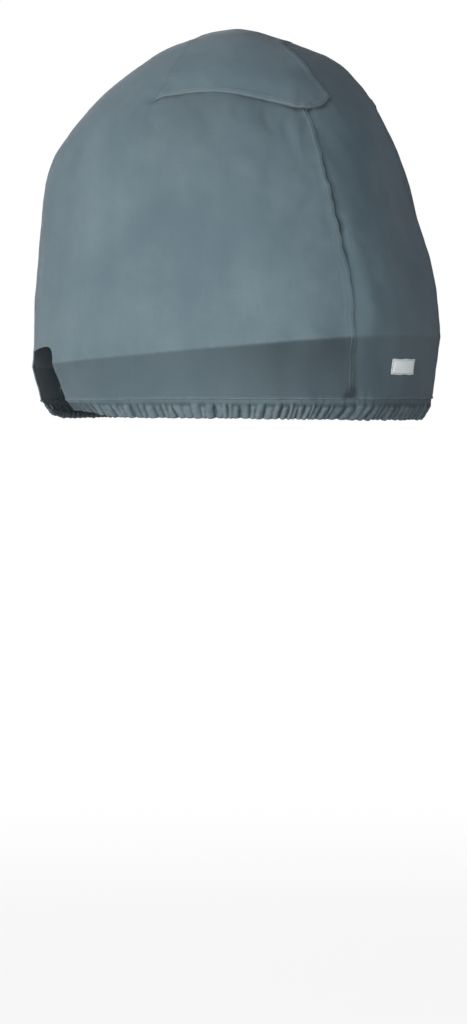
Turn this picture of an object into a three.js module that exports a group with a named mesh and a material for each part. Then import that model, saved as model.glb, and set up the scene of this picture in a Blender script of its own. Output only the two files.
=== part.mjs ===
// A fitted cloth cover for the power head of a large outboard motor: a hollow, open-bottomed hood sewn from
// two side panels, an aft panel and a crown panel, with a gathered casing round its lower edge.
// Millimetres. +X is aft, -Y is the port side, +Z is up.
// The origin is where the crown of the hood bears on the top of what it covers.
import * as THREE from "three";

// Driving dimensions
const crownHeight = 659; // top of the cloth above the hem
const clothThickness = 2;
const seamGap = 0.3; // between the edges of two panels that are sewn together
const gatherPitch = 14; // from one gather of the casing to the next
const gatherDepth = 2.4; // how far a gather stands out from the casing's mean line
const gatherUnevenness = 0.32; // share of the pitch by which gathers vary in width
const labelWidth = 68;
const labelHeight = 26;
const labelThickness = 1;
const labelOffset = 0.6; // clear of the cloth it is sewn to
const bearingHeight = crownHeight - clothThickness; // the origin above the hem

// Level sections of the hood, from the crown down: height above the hem, reach ahead of and behind the
// origin, half width, roundness (the exponent of the section's curve) and rise for each millimetre aft.
const sections = [
  { at: crownHeight, fore: 0, aft: 0, half: 0, round: 2, rise: 0 },
  { at: 656, fore: 26, aft: 29, half: 30, round: 2, rise: 0 },
  { at: 648, fore: 63, aft: 60, half: 66, round: 2.05, rise: 0 },
  { at: 628, fore: 116, aft: 118, half: 104, round: 2.1, rise: 0 },
  { at: 600, fore: 166, aft: 173, half: 140, round: 2.15, rise: 0 },
  { at: 566, fore: 214, aft: 210, half: 172, round: 2.2, rise: 0 },
  { at: 528, fore: 252, aft: 237, half: 198, round: 2.3, rise: 0 },
  { at: 486, fore: 289, aft: 256, half: 217, round: 2.4, rise: 0 },
  { at: 440, fore: 317, aft: 273, half: 231, round: 2.45, rise: 0 },
  { at: 380, fore: 332, aft: 292, half: 241, round: 2.5, rise: 0 },
  { at: 300, fore: 342, aft: 315, half: 246, round: 2.55, rise: 0.01 },
  { at: 210, fore: 347, aft: 337, half: 249, round: 2.6, rise: 0.045 },
  { at: 112, fore: 351, aft: 346, half: 251, round: 2.6, rise: 0.08 },
  { at: 31, fore: 336, aft: 333, half: 236, round: 2.6, rise: 0 },
  { at: 0, fore: 322, aft: 313, half: 226, round: 2.6, rise: 0 },
];
const shoulderLevel = 7; // the section where the panels stop leaning over the top
const creaseLevel = 12; // the widest section, where the cloth turns under along a crease
const casingLevel = 13; // the top of the gathered casing
const hemLevel = 14;

// How far the front and the aft end of a section are lifted
const endLifts = [
  { level: creaseLevel, fore: 0, aft: 0 },
  { level: casingLevel, fore: -6, aft: 0 },
  { level: hemLevel, fore: -3, aft: -4 },
];
const liftFade = 1.3; // how quickly the lift of an end fades towards the sides
// How far the hem is drawn up either side of the notch, which makes the casing narrower there
const hemLifts = [
  { turn: 98, lift: 0 },
  { turn: 108, lift: 3 },
  { turn: 117, lift: 10 },
  { turn: 126, lift: 13 },
  { turn: 156, lift: 13 },
  { turn: 166, lift: 6 },
  { turn: 178, lift: 0 },
];

// Seams of the crown panel's port side: the turn from dead aft round by port, in degrees, and the height
// above the hem. The first runs along the aft panel, the second along the side panel.
const crownAftSeam = [
  { turn: 26, at: 531 },
  { turn: 31, at: 519 },
  { turn: 36, at: 513 },
  { turn: 40.5, at: 511 },
];
const crownSideSeam = [
  { turn: 40.5, at: 511 },
  { turn: 47, at: 514 },
  { turn: 56, at: 524 },
  { turn: 68, at: 534 },
  { turn: 82, at: 542 },
  { turn: 92, at: 540 },
  { turn: 98, at: 536 },
  { turn: 102, at: 527 },
];
// The seam between the side and aft panels, from the crown panel down to the casing
const cornerSeam = [
  { at: 511, turn: 40.5 },
  { at: 486, turn: 38.6 },
  { at: 440, turn: 38 },
  { at: 360, turn: 37.2 },
  { at: 190, turn: 36.5 },
  { at: 0, turn: 36.5 },
];
// Seams that run over the top, in plan: the crown panel's front edge from its port corner to the centre
// line, the side of the aft panel's tongue from its foot up, and the tongue's round end to the centre line.
const crownFrontSeam = [
  { x: -52, y: -178 },
  { x: -44, y: -120 },
  { x: -40, y: -60 },
  { x: -38, y: 0 },
];
const tongueSideSeam = [
  { x: 200, y: -92 },
  { x: 178, y: -85 },
  { x: 156, y: -76 },
  { x: 133, y: -63 },
];
const tongueEndSeam = [
  { x: 113, y: -46 },
  { x: 98, y: -26 },
  { x: 92, y: 0 },
];

// The arched notch at the port corner of the front: the turns of its edges, and its arch above the crease
const notchEdges = [
  { level: creaseLevel, aft: 130, fore: 153 },
  { level: casingLevel, aft: 126.5, fore: 155 },
  { level: hemLevel, aft: 125.5, fore: 156 },
];
const archRise = 24.5; // over the crease, at the middle of the notch
const archSlope = 4; // the arch's aft side is this much higher than its middle
const archSquareness = 4;

// Soft folds of the cloth, each along a line from one turn and height to another. A negative depth is a
// ridge. Turns under 180 are on the port side, those above it to starboard.
const folds = [
  { turn: 89, at: 430, footTurn: 88, footAt: 335, width: 24, depth: 3 },
  { turn: 84, at: 529, footTurn: 78, footAt: 454, width: 20, depth: 3 },
  { turn: 78, at: 454, footTurn: 71, footAt: 390, width: 22, depth: 2.5 },
  { turn: 68, at: 510, footTurn: 62, footAt: 470, width: 20, depth: -2.5 },
  { turn: 59, at: 428, footTurn: 62, footAt: 350, width: 18, depth: 3 },
  { turn: 76, at: 226, footTurn: 73, footAt: 158, width: 26, depth: 2.5 },
  { turn: 58, at: 258, footTurn: 63, footAt: 208, width: 22, depth: 2.5 },
  { turn: 108, at: 160, footTurn: 98, footAt: 150, width: 22, depth: 2 },
  { turn: 60, at: 112, footTurn: 61, footAt: 55, width: 20, depth: 2.5 },
  { turn: 34, at: 455, footTurn: 25, footAt: 414, width: 18, depth: 3 },
  { turn: 31, at: 332, footTurn: 27, footAt: 138, width: 18, depth: -3 },
  { turn: 12, at: 400, footTurn: 8, footAt: 250, width: 26, depth: 2 },
  { turn: 120, at: 380, footTurn: 131, footAt: 190, width: 24, depth: 2.5 },
  { turn: 152, at: 330, footTurn: 141, footAt: 170, width: 22, depth: 2.5 },
  { turn: 342, at: 430, footTurn: 336, footAt: 300, width: 22, depth: 2.5 },
  { turn: 297, at: 470, footTurn: 288, footAt: 390, width: 24, depth: 3 },
  { turn: 262, at: 440, footTurn: 270, footAt: 330, width: 26, depth: 2.5 },
  { turn: 279, at: 250, footTurn: 285, footAt: 165, width: 22, depth: 2.5 },
  { turn: 236, at: 400, footTurn: 228, footAt: 240, width: 22, depth: 2.5 },
  { turn: 205, at: 420, footTurn: 213, footAt: 300, width: 22, depth: 2.5 },
];
const foldSteps = 6; // straight stretches that a fold's line is made of

// Where the label sits on the aft panel
const labelMiddle = -63; // to port of the centre line
const labelFoot = 72; // its lower edge above the hem

// Number of cells along each stretch of seam
const cells = {
  crownAft: 3,
  crownSide: 11,
  tongueEnd: 10, // both halves
  frontToNotch: 3,
  notch: 6,
  notchToCentre: 4,
  overShoulder: 3,
  shoulderToCrease: 10,
  creaseToCasing: 2,
};
const frontCells = cells.frontToNotch + cells.notch + cells.notchToCentre;
const tongueRows = frontCells - cells.tongueEnd / 2; // so the crown panel has as many cells at either end
const frontCornerTurn = 104; // where the column below the crown's front corner meets the shoulder
const centreTurn = 180; // the centre line of the front
const archTopLevel = creaseLevel - 1; // rows of cells below this one bend round the arch
const bendFade = 3; // how fast the bend of a border dies away inside a panel

const clothColour = 0x62727a;
const labelColour = 0xe8e9e4;

const radians = (degrees) => (degrees * Math.PI) / 180;
const degrees = (angle) => (angle * 180) / Math.PI;
const blend = (a, b, t) => a + (b - a) * t;

// A value of one column of a table at a value of another, on straight lines between the rows.
function lookUp(table, from, value, to) {
  const rising = table[0][from] < table.at(-1)[from];
  const rows = rising ? table : [...table].reverse();
  if (value <= rows[0][from]) return rows[0][to];
  for (let i = 1; i < rows.length; i++) {
    if (value > rows[i][from]) continue;
    const t = (value - rows[i - 1][from]) / (rows[i][from] - rows[i - 1][from]);
    return blend(rows[i - 1][to], rows[i][to], t);
  }
  return rows.at(-1)[to];
}

// A section between two rows of the table, on a smooth curve that is broken only at the crease.
function sectionAt(level) {
  const last = sections.length - 1;
  const i = Math.min(Math.max(Math.floor(level), 0), last - 1);
  const t = level - i;
  const beyond = (end, next, name) => 2 * sections[end][name] - sections[next][name];
  const made = {};
  for (const name of Object.keys(sections[0])) {
    const p1 = sections[i][name];
    const p2 = sections[i + 1][name];
    let p0;
    if (i === 0) p0 = ["fore", "aft", "half"].includes(name) ? -p2 : p2;
    else if (i === creaseLevel) p0 = beyond(i, i + 1, name);
    else p0 = sections[i - 1][name];
    let p3;
    if (i === last - 1 || i === creaseLevel - 1) p3 = beyond(i + 1, i, name);
    else p3 = sections[i + 2][name];
    const slope = p2 - p0;
    const bend = 2 * p0 - 5 * p1 + 4 * p2 - p3;
    const twist = 3 * p1 - p0 - 3 * p2 + p3;
    made[name] = (2 * p1 + (slope + (bend + twist * t) * t) * t) / 2;
  }
  return made;
}

// The point of the smooth hood's outer face at a turn, in degrees from dead aft round by port, and a level.
function pointOn(turn, level) {
  const s = sectionAt(level);
  const cosine = Math.cos(radians(turn));
  const sine = Math.sin(radians(turn));
  const end = cosine >= 0 ? "aft" : "fore";
  const x = s[end] * Math.sign(cosine) * Math.abs(cosine) ** (2 / s.round);
  const y = -s.half * Math.sign(sine) * Math.abs(sine) ** (2 / s.round);
  const endLift = lookUp(endLifts, "level", level, end) * Math.abs(cosine) ** liftFade;
  const wholeTurn = THREE.MathUtils.euclideanModulo(turn, 360);
  const hemLift = lookUp(hemLifts, "turn", wholeTurn, "lift") * Math.max(0, level - casingLevel);
  return new THREE.Vector3(x, y, s.at + s.rise * x + endLift + hemLift);
}

// The outward direction of the smooth hood there.
function facingOn(turn, level) {
  const nudge = { turn: 0.01, level: 0.1 };
  const round = pointOn(turn + nudge.turn, level).sub(pointOn(turn - nudge.turn, level));
  const down = pointOn(turn, level + nudge.level).sub(pointOn(turn, level - nudge.level));
  return round.cross(down).normalize();
}

// The value between low and high where a falling test turns negative.
function solve(low, high, test) {
  const halvings = 40;
  for (let n = 0; n < halvings; n++) {
    const middle = (low + high) / 2;
    if (test(middle) > 0) low = middle;
    else high = middle;
  }
  return low;
}

// The level of the section at a height above the hem.
const levelAt = (height) => solve(0, hemLevel, (level) => sectionAt(level).at - height);

// The turn and level of the outer face at a point of the plan, near the crown.
function spotAt(plan) {
  const end = plan.x >= 0 ? "aft" : "fore";
  const shareX = (s) => (Math.abs(plan.x) / s[end]) ** s.round;
  const shareY = (s) => (Math.abs(plan.y) / s.half) ** s.round;
  const lowest = shoulderLevel + 0.5;
  const level = solve(1e-6, lowest, (k) => shareX(sectionAt(k)) + shareY(sectionAt(k)) - 1);
  const s = sectionAt(level);
  const cosine = Math.sign(plan.x) * Math.sqrt(shareX(s));
  const sine = -Math.sign(plan.y) * Math.sqrt(shareY(s));
  return { turn: degrees(Math.atan2(sine, cosine)), level };
}

const planOf = ({ turn, level }) => {
  const point = pointOn(turn, level);
  return new THREE.Vector2(point.x, point.y);
};
const mirrored = (plan) => new THREE.Vector2(plan.x, -plan.y);

// Evenly spaced points of a smooth line through the given ones.
const spaced = (points, count) => new THREE.SplineCurve(points).getSpacedPoints(count);
const bySeam = (rows) => rows.map(({ turn, at }) => planOf({ turn, level: levelAt(at) }));
const byPlan = (rows) => rows.map(({ x, y }) => new THREE.Vector2(x, y));

// The seams over the top, each a list of points in plan that both of its panels share
const seams = {};
seams.crownAft = spaced(bySeam(crownAftSeam), cells.crownAft);
seams.crownSide = spaced(bySeam(crownSideSeam), cells.crownSide);
seams.crownFront = spaced([seams.crownSide.at(-1), ...byPlan(crownFrontSeam)], frontCells);
seams.tongueSide = spaced([seams.crownAft[0], ...byPlan(tongueSideSeam)], tongueRows);
const halfEnd = [seams.tongueSide.at(-1), ...byPlan(tongueEndSeam)];
const wholeEnd = [...halfEnd, ...halfEnd.slice(0, -1).reverse().map(mirrored)];
seams.tongueEnd = spaced(wholeEnd, cells.tongueEnd);

// A point of the plan between four lists of border points. Bottom and top run one way, left and right join
// them, and what left and right bend dies away quickly towards the middle.
function inside(border, i, j) {
  const s = i / (border.bottom.length - 1);
  const t = j / (border.left.length - 1);
  const bend = (side) => side[j].clone().sub(side[0].clone().lerp(side.at(-1), t));
  const point = border.bottom[i].clone().lerp(border.top[i], t);
  point.addScaledVector(bend(border.left), (1 - s) ** bendFade);
  return point.addScaledVector(bend(border.right), s ** bendFade);
}

// The lines of the folds in space.
const foldLines = folds.map((fold) => {
  const points = [];
  for (let n = 0; n <= foldSteps; n++) {
    const turn = blend(fold.turn, fold.footTurn, n / foldSteps);
    const height = blend(fold.at, fold.footAt, n / foldSteps);
    points.push(pointOn(turn, levelAt(height)));
  }
  return { ...fold, points };
});

// How far the folds move a point of the smooth hood out.
function foldsAt(point) {
  const nearest = new THREE.Vector3();
  const stretch = new THREE.Line3();
  let out = 0;
  for (const { points, width, depth } of foldLines) {
    let distance = Infinity;
    for (let n = 1; n < points.length; n++) {
      stretch.set(points[n - 1], points[n]).closestPointToPoint(point, true, nearest);
      distance = Math.min(distance, nearest.distanceTo(point));
    }
    out -= depth * Math.exp(-((distance / width) ** 2));
  }
  return out;
}

// A grid of cells over the outer face. place(i, j) gives a turn, a level and how far out the point stands,
// and has(i, j) says if a cell is there. Seen from outside, columns run to the left and rows run down.
function grid(columnCount, rowCount, place, has = () => true) {
  const spots = [];
  const numbers = new Map();
  const numberOf = (i, j) => {
    const key = i * (rowCount + 1) + j;
    if (!numbers.has(key)) {
      numbers.set(key, spots.length);
      spots.push(place(i, j));
    }
    return numbers.get(key);
  };
  const quads = [];
  for (let i = 0; i < columnCount; i++) {
    for (let j = 0; j < rowCount; j++) {
      if (!has(i, j)) continue;
      quads.push([numberOf(i, j), numberOf(i + 1, j), numberOf(i + 1, j + 1), numberOf(i, j + 1)]);
    }
  }
  return { spots, quads };
}

// The same grid facing the other way, for columns that run to the right.
const turnedOver = ({ spots, quads }) => ({ spots, quads: quads.map((quad) => [...quad].reverse()) });

// The same grid on the other side of the centre line.
const otherSide = ({ spots, quads }) =>
  turnedOver({ spots: spots.map((spot) => ({ ...spot, turn: -spot.turn })), quads });

// The edges that only one cell has, each running as it does in that cell.
function borderOf(quads) {
  const edges = new Map();
  for (const quad of quads) {
    quad.forEach((from, n) => {
      const to = quad[(n + 1) % quad.length];
      if (!edges.delete(to + " " + from)) edges.set(from + " " + to, [from, to]);
    });
  }
  return [...edges.values()];
}

// Draws the border of a sheet in by half a seam's gap.
function drawIn(points, facings, border) {
  const moves = new Map();
  for (const [from, to] of border) {
    const along = points[to].clone().sub(points[from]).normalize();
    for (const n of [from, to]) {
      if (!moves.has(n)) moves.set(n, []);
      moves.get(n).push(facings[n].clone().cross(along).normalize());
    }
  }
  for (const [n, inwards] of moves) {
    const mean = new THREE.Vector3();
    for (const inward of inwards) mean.addScaledVector(inward, 1 / inwards.length);
    const sharpest = 0.5;
    points[n].addScaledVector(mean.clone().normalize(), seamGap / 2 / Math.max(mean.length(), sharpest));
  }
}

// A closed sheet of even thickness whose outer face is the grid.
function sheetOf({ spots, quads }, thickness) {
  const facings = spots.map(({ turn, level }) => facingOn(turn, level));
  const points = spots.map(({ turn, level, out = 0 }, n) => {
    const point = pointOn(turn, level);
    return point.addScaledVector(facings[n], out + foldsAt(point));
  });
  const border = borderOf(quads);
  drawIn(points, facings, border);
  const count = points.length;
  const inner = points.map((point, n) => point.clone().addScaledVector(facings[n], -thickness));
  const index = [];
  const face = (a, b, c, d) => index.push(a, b, c, a, c, d);
  for (const [a, b, c, d] of quads) {
    face(a, b, c, d);
    face(d + count, c + count, b + count, a + count);
  }
  for (const [from, to] of border) face(to, from, from + count, to + count);
  const positions = [...points, ...inner].flatMap(({ x, y, z }) => [x, y, z - bearingHeight]);
  const geometry = new THREE.BufferGeometry();
  geometry.setAttribute("position", new THREE.Float32BufferAttribute(positions, 3));
  geometry.setIndex(index);
  geometry.computeVertexNormals();
  return geometry;
}

// The level of a row of cells below the shoulder. One of the rows lies on the crease.
function rowLevel(j) {
  const above = j / cells.shoulderToCrease;
  if (above <= 1) return blend(shoulderLevel, creaseLevel, above);
  return blend(creaseLevel, casingLevel, (j - cells.shoulderToCrease) / cells.creaseToCasing);
}
const rowsBelow = cells.shoulderToCrease + cells.creaseToCasing;

const notchStart = cells.crownSide + cells.frontToNotch; // the column at the notch's aft edge
const notchStop = notchStart + cells.notch;
const sideColumns = cells.crownSide + frontCells;

// The share of the way across the notch of one of its columns, from -1 to 1, closer together at corners.
const acrossNotch = (i) => Math.sin(Math.PI * ((i - notchStart) / cells.notch - 0.5));

// The turn of a side panel's column, between the corner seam, the crown's front corner, the notch's two
// edges and the centre line.
function columnTurn(i, level) {
  const corner = lookUp(cornerSeam, "at", sectionAt(level).at, "turn");
  const notchAft = lookUp(notchEdges, "level", level, "aft");
  const notchFore = lookUp(notchEdges, "level", level, "fore");
  if (i > notchStart && i < notchStop) return blend(notchAft, notchFore, (1 + acrossNotch(i)) / 2);
  const marks = [
    { i: 0, turn: corner },
    { i: cells.crownSide, turn: frontCornerTurn },
    { i: notchStart, turn: notchAft },
    { i: notchStop, turn: notchFore },
    { i: sideColumns, turn: centreTurn },
  ];
  return lookUp(marks, "i", i, "turn");
}

// How high the notch's arch stands over the crease at a share of the way across it.
function archOver(across) {
  const round = Math.max(0, 1 - Math.abs(across) ** archSquareness) ** (1 / archSquareness);
  return (archRise - archSlope * across) * round;
}

function sideGrid(notched) {
  const top = [...seams.crownSide, ...seams.crownFront.slice(1)];
  const overNotch = (i) => notched && i > notchStart && i < notchStop;
  const place = (i, j) => {
    if (j < cells.overShoulder) {
      const foot = planOf({ turn: columnTurn(i, shoulderLevel), level: shoulderLevel });
      return spotAt(top[i].clone().lerp(foot, j / cells.overShoulder));
    }
    const level = rowLevel(j - cells.overShoulder);
    const turn = columnTurn(i, level);
    if (!overNotch(i) || level < archTopLevel) return { turn, level };
    const drop = sections[archTopLevel].at - sections[creaseLevel].at;
    const share = Math.min(level, creaseLevel) - archTopLevel;
    return { turn, level: archTopLevel + share * (1 - archOver(acrossNotch(i)) / drop) };
  };
  const creaseRow = cells.overShoulder + cells.shoulderToCrease;
  const has = (i, j) => !(notched && i >= notchStart && i < notchStop && j >= creaseRow);
  return grid(sideColumns, cells.overShoulder + rowsBelow, place, has);
}

function crownGrid() {
  const port = [...seams.crownAft, ...seams.crownSide.slice(1)].reverse(); // from the front corner aft
  const { crownFront, tongueSide, tongueEnd } = seams;
  const border = {
    bottom: [...crownFront, ...crownFront.slice(0, -1).reverse().map(mirrored)],
    top: [...tongueSide, ...tongueEnd.slice(1), ...tongueSide.slice(0, -1).reverse().map(mirrored)],
    left: port,
    right: port.map(mirrored),
  };
  const place = (i, j) => spotAt(inside(border, i, j));
  return turnedOver(grid(border.bottom.length - 1, port.length - 1, place));
}

function aftGrid() {
  const { turn: footTurn, at } = crownAftSeam[0];
  const foot = []; // across the foot of the tongue
  for (let n = 0; n <= cells.tongueEnd; n++) {
    foot.push(planOf({ turn: blend(footTurn, -footTurn, n / cells.tongueEnd), level: levelAt(at) }));
  }
  const ledge = seams.crownAft.slice(1);
  const top = [...[...ledge].reverse(), ...foot, ...ledge.map(mirrored)];
  const columnCount = top.length - 1;
  const border = {
    bottom: foot,
    top: seams.tongueEnd,
    left: seams.tongueSide,
    right: seams.tongueSide.map(mirrored),
  };
  const place = (i, j) => {
    if (j < tongueRows) return spotAt(inside(border, i - cells.crownAft, tongueRows - j));
    const down = j - tongueRows;
    const level = rowLevel(Math.max(0, down - cells.overShoulder));
    const corner = lookUp(cornerSeam, "at", sectionAt(level).at, "turn");
    const below = { turn: blend(corner, -corner, i / columnCount), level };
    if (down >= cells.overShoulder) return below;
    return spotAt(top[i].clone().lerp(planOf(below), down / cells.overShoulder));
  };
  const inTongue = (i) => i >= cells.crownAft && i < columnCount - cells.crownAft;
  const rowCount = tongueRows + cells.overShoulder + rowsBelow;
  return turnedOver(grid(columnCount, rowCount, place, (i, j) => j >= tongueRows || inTongue(i)));
}

// The casing's gathers: the turns of its ridges and hollows, uneven in width, and how far each stands out.
function gathers() {
  const start = lookUp(notchEdges, "level", hemLevel, "fore");
  const stop = lookUp(notchEdges, "level", hemLevel, "aft") + 360;
  const step = 0.25;
  const marks = [{ turn: start, out: 0 }];
  let travelled = 0;
  for (let turn = start; turn < stop; turn += step) {
    travelled += pointOn(turn + step, hemLevel).distanceTo(pointOn(turn, hemLevel));
    const number = marks.length;
    const uneven = 1 + gatherUnevenness * Math.sin(number * 2.4) * Math.cos(number * 0.7);
    if (travelled < (gatherPitch / 2) * uneven) continue;
    travelled = 0;
    const size = gatherDepth * (0.7 + 0.3 * Math.sin(number * 1.9));
    marks.push({ turn: turn + step, out: number % 2 ? size : -size });
  }
  marks.pop();
  marks.push({ turn: stop, out: 0 });
  return marks;
}

function casingGrid() {
  const rows = [
    { level: casingLevel + 0.007, share: 0 },
    { level: casingLevel + 0.1, share: 0 },
    { level: casingLevel + 0.45, share: 1 },
    { level: hemLevel, share: 0.8 },
  ];
  const marks = gathers();
  const edgeAt = (level, side) => lookUp(notchEdges, "level", level, side);
  const slant = (level, side) => edgeAt(level, side) - edgeAt(hemLevel, side);
  const place = (i, j) => {
    const { level, share } = rows[j];
    const leaning = blend(slant(level, "fore"), slant(level, "aft"), i / (marks.length - 1));
    return { turn: marks[i].turn + leaning, level, out: marks[i].out * share };
  };
  return grid(marks.length - 1, rows.length - 1, place);
}

// The spot of the outer face below the crease, at the aft end, at a distance to starboard and a height.
function aftSpot(y, height) {
  const widest = 60;
  const rounds = 8;
  let turn = 0;
  let level = creaseLevel;
  for (let n = 0; n < rounds; n++) {
    level = solve(creaseLevel, casingLevel, (k) => pointOn(turn, k).z - height);
    turn = solve(-widest, widest, (t) => pointOn(t, level).y - y);
  }
  return { turn, level };
}

function labelGrid() {
  const columnCount = 4;
  const rowCount = 2;
  const place = (i, j) => {
    const y = labelMiddle + labelWidth * (i / columnCount - 0.5);
    const height = labelFoot + labelHeight * (1 - j / rowCount);
    return { ...aftSpot(y, height), out: labelOffset + labelThickness };
  };
  return turnedOver(grid(columnCount, rowCount, place));
}

function mesh(name, geometry, color, roughness) {
  const made = new THREE.Mesh(geometry, new THREE.MeshStandardMaterial({ color, roughness, metalness: 0 }));
  made.name = name;
  return made;
}
const cloth = (name, cut) => mesh(name, sheetOf(cut, clothThickness), clothColour, 0.92);

const group = new THREE.Group();
group.add(cloth("crown_panel", crownGrid()));
group.add(cloth("side_panel_port", sideGrid(true)));
group.add(cloth("side_panel_starboard", otherSide(sideGrid(false))));
group.add(cloth("aft_panel", aftGrid()));
group.add(cloth("gathered_casing", casingGrid()));
group.add(mesh("label", sheetOf(labelGrid(), labelThickness), labelColour, 0.7));

export default group;
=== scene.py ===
import math

import bpy
import numpy as np
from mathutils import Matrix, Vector


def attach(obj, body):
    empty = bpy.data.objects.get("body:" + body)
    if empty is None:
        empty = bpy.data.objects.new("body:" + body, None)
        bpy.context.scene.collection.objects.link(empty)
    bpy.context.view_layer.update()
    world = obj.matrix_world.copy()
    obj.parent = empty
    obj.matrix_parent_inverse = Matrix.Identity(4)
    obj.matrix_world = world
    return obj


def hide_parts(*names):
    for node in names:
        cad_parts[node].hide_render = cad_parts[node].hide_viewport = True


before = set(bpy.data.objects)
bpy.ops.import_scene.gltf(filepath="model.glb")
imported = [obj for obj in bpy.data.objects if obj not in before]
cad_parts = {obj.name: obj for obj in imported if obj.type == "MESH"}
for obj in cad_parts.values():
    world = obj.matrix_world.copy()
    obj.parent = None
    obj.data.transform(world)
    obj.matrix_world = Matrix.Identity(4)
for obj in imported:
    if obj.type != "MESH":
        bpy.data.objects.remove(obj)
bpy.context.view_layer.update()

# The hood's own shape, in metres: level sections from the crown down to the hem

hood = {
    "bearing": 0.657,  # the frame's origin above the hem
    "sections": [  # height above the hem, reach fore, reach aft, half width, roundness, rise per metre aft
        (0.659, 0.000, 0.000, 0.000, 2.00, 0.000),
        (0.656, 0.026, 0.029, 0.030, 2.00, 0.000),
        (0.648, 0.063, 0.060, 0.066, 2.05, 0.000),
        (0.628, 0.116, 0.118, 0.104, 2.10, 0.000),
        (0.600, 0.166, 0.173, 0.140, 2.15, 0.000),
        (0.566, 0.214, 0.210, 0.172, 2.20, 0.000),
        (0.528, 0.252, 0.237, 0.198, 2.30, 0.000),
        (0.486, 0.289, 0.256, 0.217, 2.40, 0.000),
        (0.440, 0.317, 0.273, 0.231, 2.45, 0.000),
        (0.380, 0.332, 0.292, 0.241, 2.50, 0.000),
        (0.300, 0.342, 0.315, 0.246, 2.55, 0.010),
        (0.210, 0.347, 0.337, 0.249, 2.60, 0.045),
        (0.112, 0.351, 0.346, 0.251, 2.60, 0.080),
        (0.031, 0.336, 0.333, 0.236, 2.60, 0.000),
        (0.000, 0.322, 0.313, 0.226, 2.60, 0.000),
    ],
    "shoulder": 7,  # the section where the panels stop leaning over the top
    "crease": 12,  # the widest one, where the cloth turns under
    "casingTop": 13,
    "hem": 14,
    "endLiftLevels": (12, 13, 14),  # how far the two ends of a section are lifted there
    "foreLift": (0.0, -0.006, -0.003),
    "aftLift": (0.0, 0.0, -0.004),
    "hemLiftTurns": (98, 108, 117, 126, 156, 166, 178),  # degrees from dead aft round by port
    "hemLift": (0.0, 0.003, 0.010, 0.013, 0.013, 0.006, 0.0),
}

sectionTable = np.array(hood["sections"])
lastSection = len(sectionTable) - 1
at, fore, aft, half, roundness, rise = range(6)  # its columns


def mixed(a, b, share):
    return a + (b - a) * share


def smoothStep(low, high, value):
    share = np.clip((value - low) / (high - low), 0, 1)
    return share * share * (3 - 2 * share)


def bell(away, width):  # 1 in the middle, fading on both sides of it
    return np.exp(-((away / width) ** 2))


def throughFour(before, here, after, beyond, t):  # a smooth curve from here to after
    bend = 2 * before - 5 * here + 4 * after - beyond
    twist = 3 * here - before - 3 * after + beyond
    return (2 * here + (after - before) * t + bend * t**2 + twist * t**3) / 2


def sectionAt(level):
    level = np.asarray(level, float)
    i = np.clip(np.floor(level), 0, lastSection - 1).astype(int)
    here, after = sectionTable[i], sectionTable[i + 1]
    before = sectionTable[np.maximum(i - 1, 0)]
    beyond = sectionTable[np.minimum(i + 2, lastSection)]
    overTop = sectionTable[1] * (1, -1, -1, -1, 1, 1)
    before = np.where((i == 0)[..., None], overTop, before)
    before = np.where((i == hood["crease"])[..., None], 2 * here - after, before)  # the crease stays sharp
    ends = (i == hood["crease"] - 1) | (i == lastSection - 1)
    beyond = np.where(ends[..., None], 2 * after - here, beyond)
    return throughFour(before, here, after, beyond, (level - i)[..., None])


def pointOn(turn, level):  # the outer face of the smooth hood, in the frame
    turn, level = np.broadcast_arrays(np.asarray(turn, float), np.asarray(level, float))
    s = sectionAt(level)
    cosine, sine = np.cos(np.radians(turn)), np.sin(np.radians(turn))
    power = 2 / s[..., roundness]
    reach = np.where(cosine >= 0, s[..., aft], s[..., fore])
    x = reach * np.sign(cosine) * np.abs(cosine) ** power
    y = -s[..., half] * np.sign(sine) * np.abs(sine) ** power
    liftAft = np.interp(level, hood["endLiftLevels"], hood["aftLift"])
    liftFore = np.interp(level, hood["endLiftLevels"], hood["foreLift"])
    lift = np.where(cosine >= 0, liftAft, liftFore) * np.abs(cosine) ** 1.3
    byNotch = np.interp(turn % 360, hood["hemLiftTurns"], hood["hemLift"])
    lift = lift + byNotch * np.maximum(0, level - hood["casingTop"])
    return np.stack([x, y, s[..., at] + s[..., rise] * x + lift - hood["bearing"]], -1)


def unit(vectors):
    return vectors / np.maximum(np.linalg.norm(vectors, axis=-1, keepdims=True), 1e-12)


def facingOn(turn, level):  # the outward direction there
    around = pointOn(turn + 0.01, level) - pointOn(turn - 0.01, level)
    down = pointOn(turn, level + 0.1) - pointOn(turn, level - 0.1)
    return unit(np.cross(around, down))


def halved(low, high, test, rounds=40):  # where a falling test turns negative
    for _ in range(rounds):
        middle = (low + high) / 2
        positive = test(middle) > 0
        low, high = np.where(positive, middle, low), np.where(positive, high, middle)
    return low


fineLevels = np.linspace(0, hood["hem"], 2801)
fineHeights = sectionAt(fineLevels)[:, at]


def levelAt(height):
    return np.interp(-np.asarray(height, float), -fineHeights, fineLevels)


def spotAt(plan):  # turn and level of the outer face at a point of the plan, near the crown
    x, y = plan[..., 0], plan[..., 1]

    def shares(level):
        s = sectionAt(level)
        reach = np.where(x >= 0, s[..., aft], s[..., fore])
        power = s[..., roundness]
        return (np.abs(x) / reach) ** power, (np.abs(y) / s[..., half]) ** power

    deepest = hood["shoulder"] + 0.5
    level = halved(np.full(x.shape, 1e-6), np.full(x.shape, deepest), lambda k: sum(shares(k)) - 1)
    shareX, shareY = shares(level)
    turn = np.degrees(np.arctan2(-np.sign(y) * np.sqrt(shareY), np.sign(x) * np.sqrt(shareX)))
    return turn, level


# Seams

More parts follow.
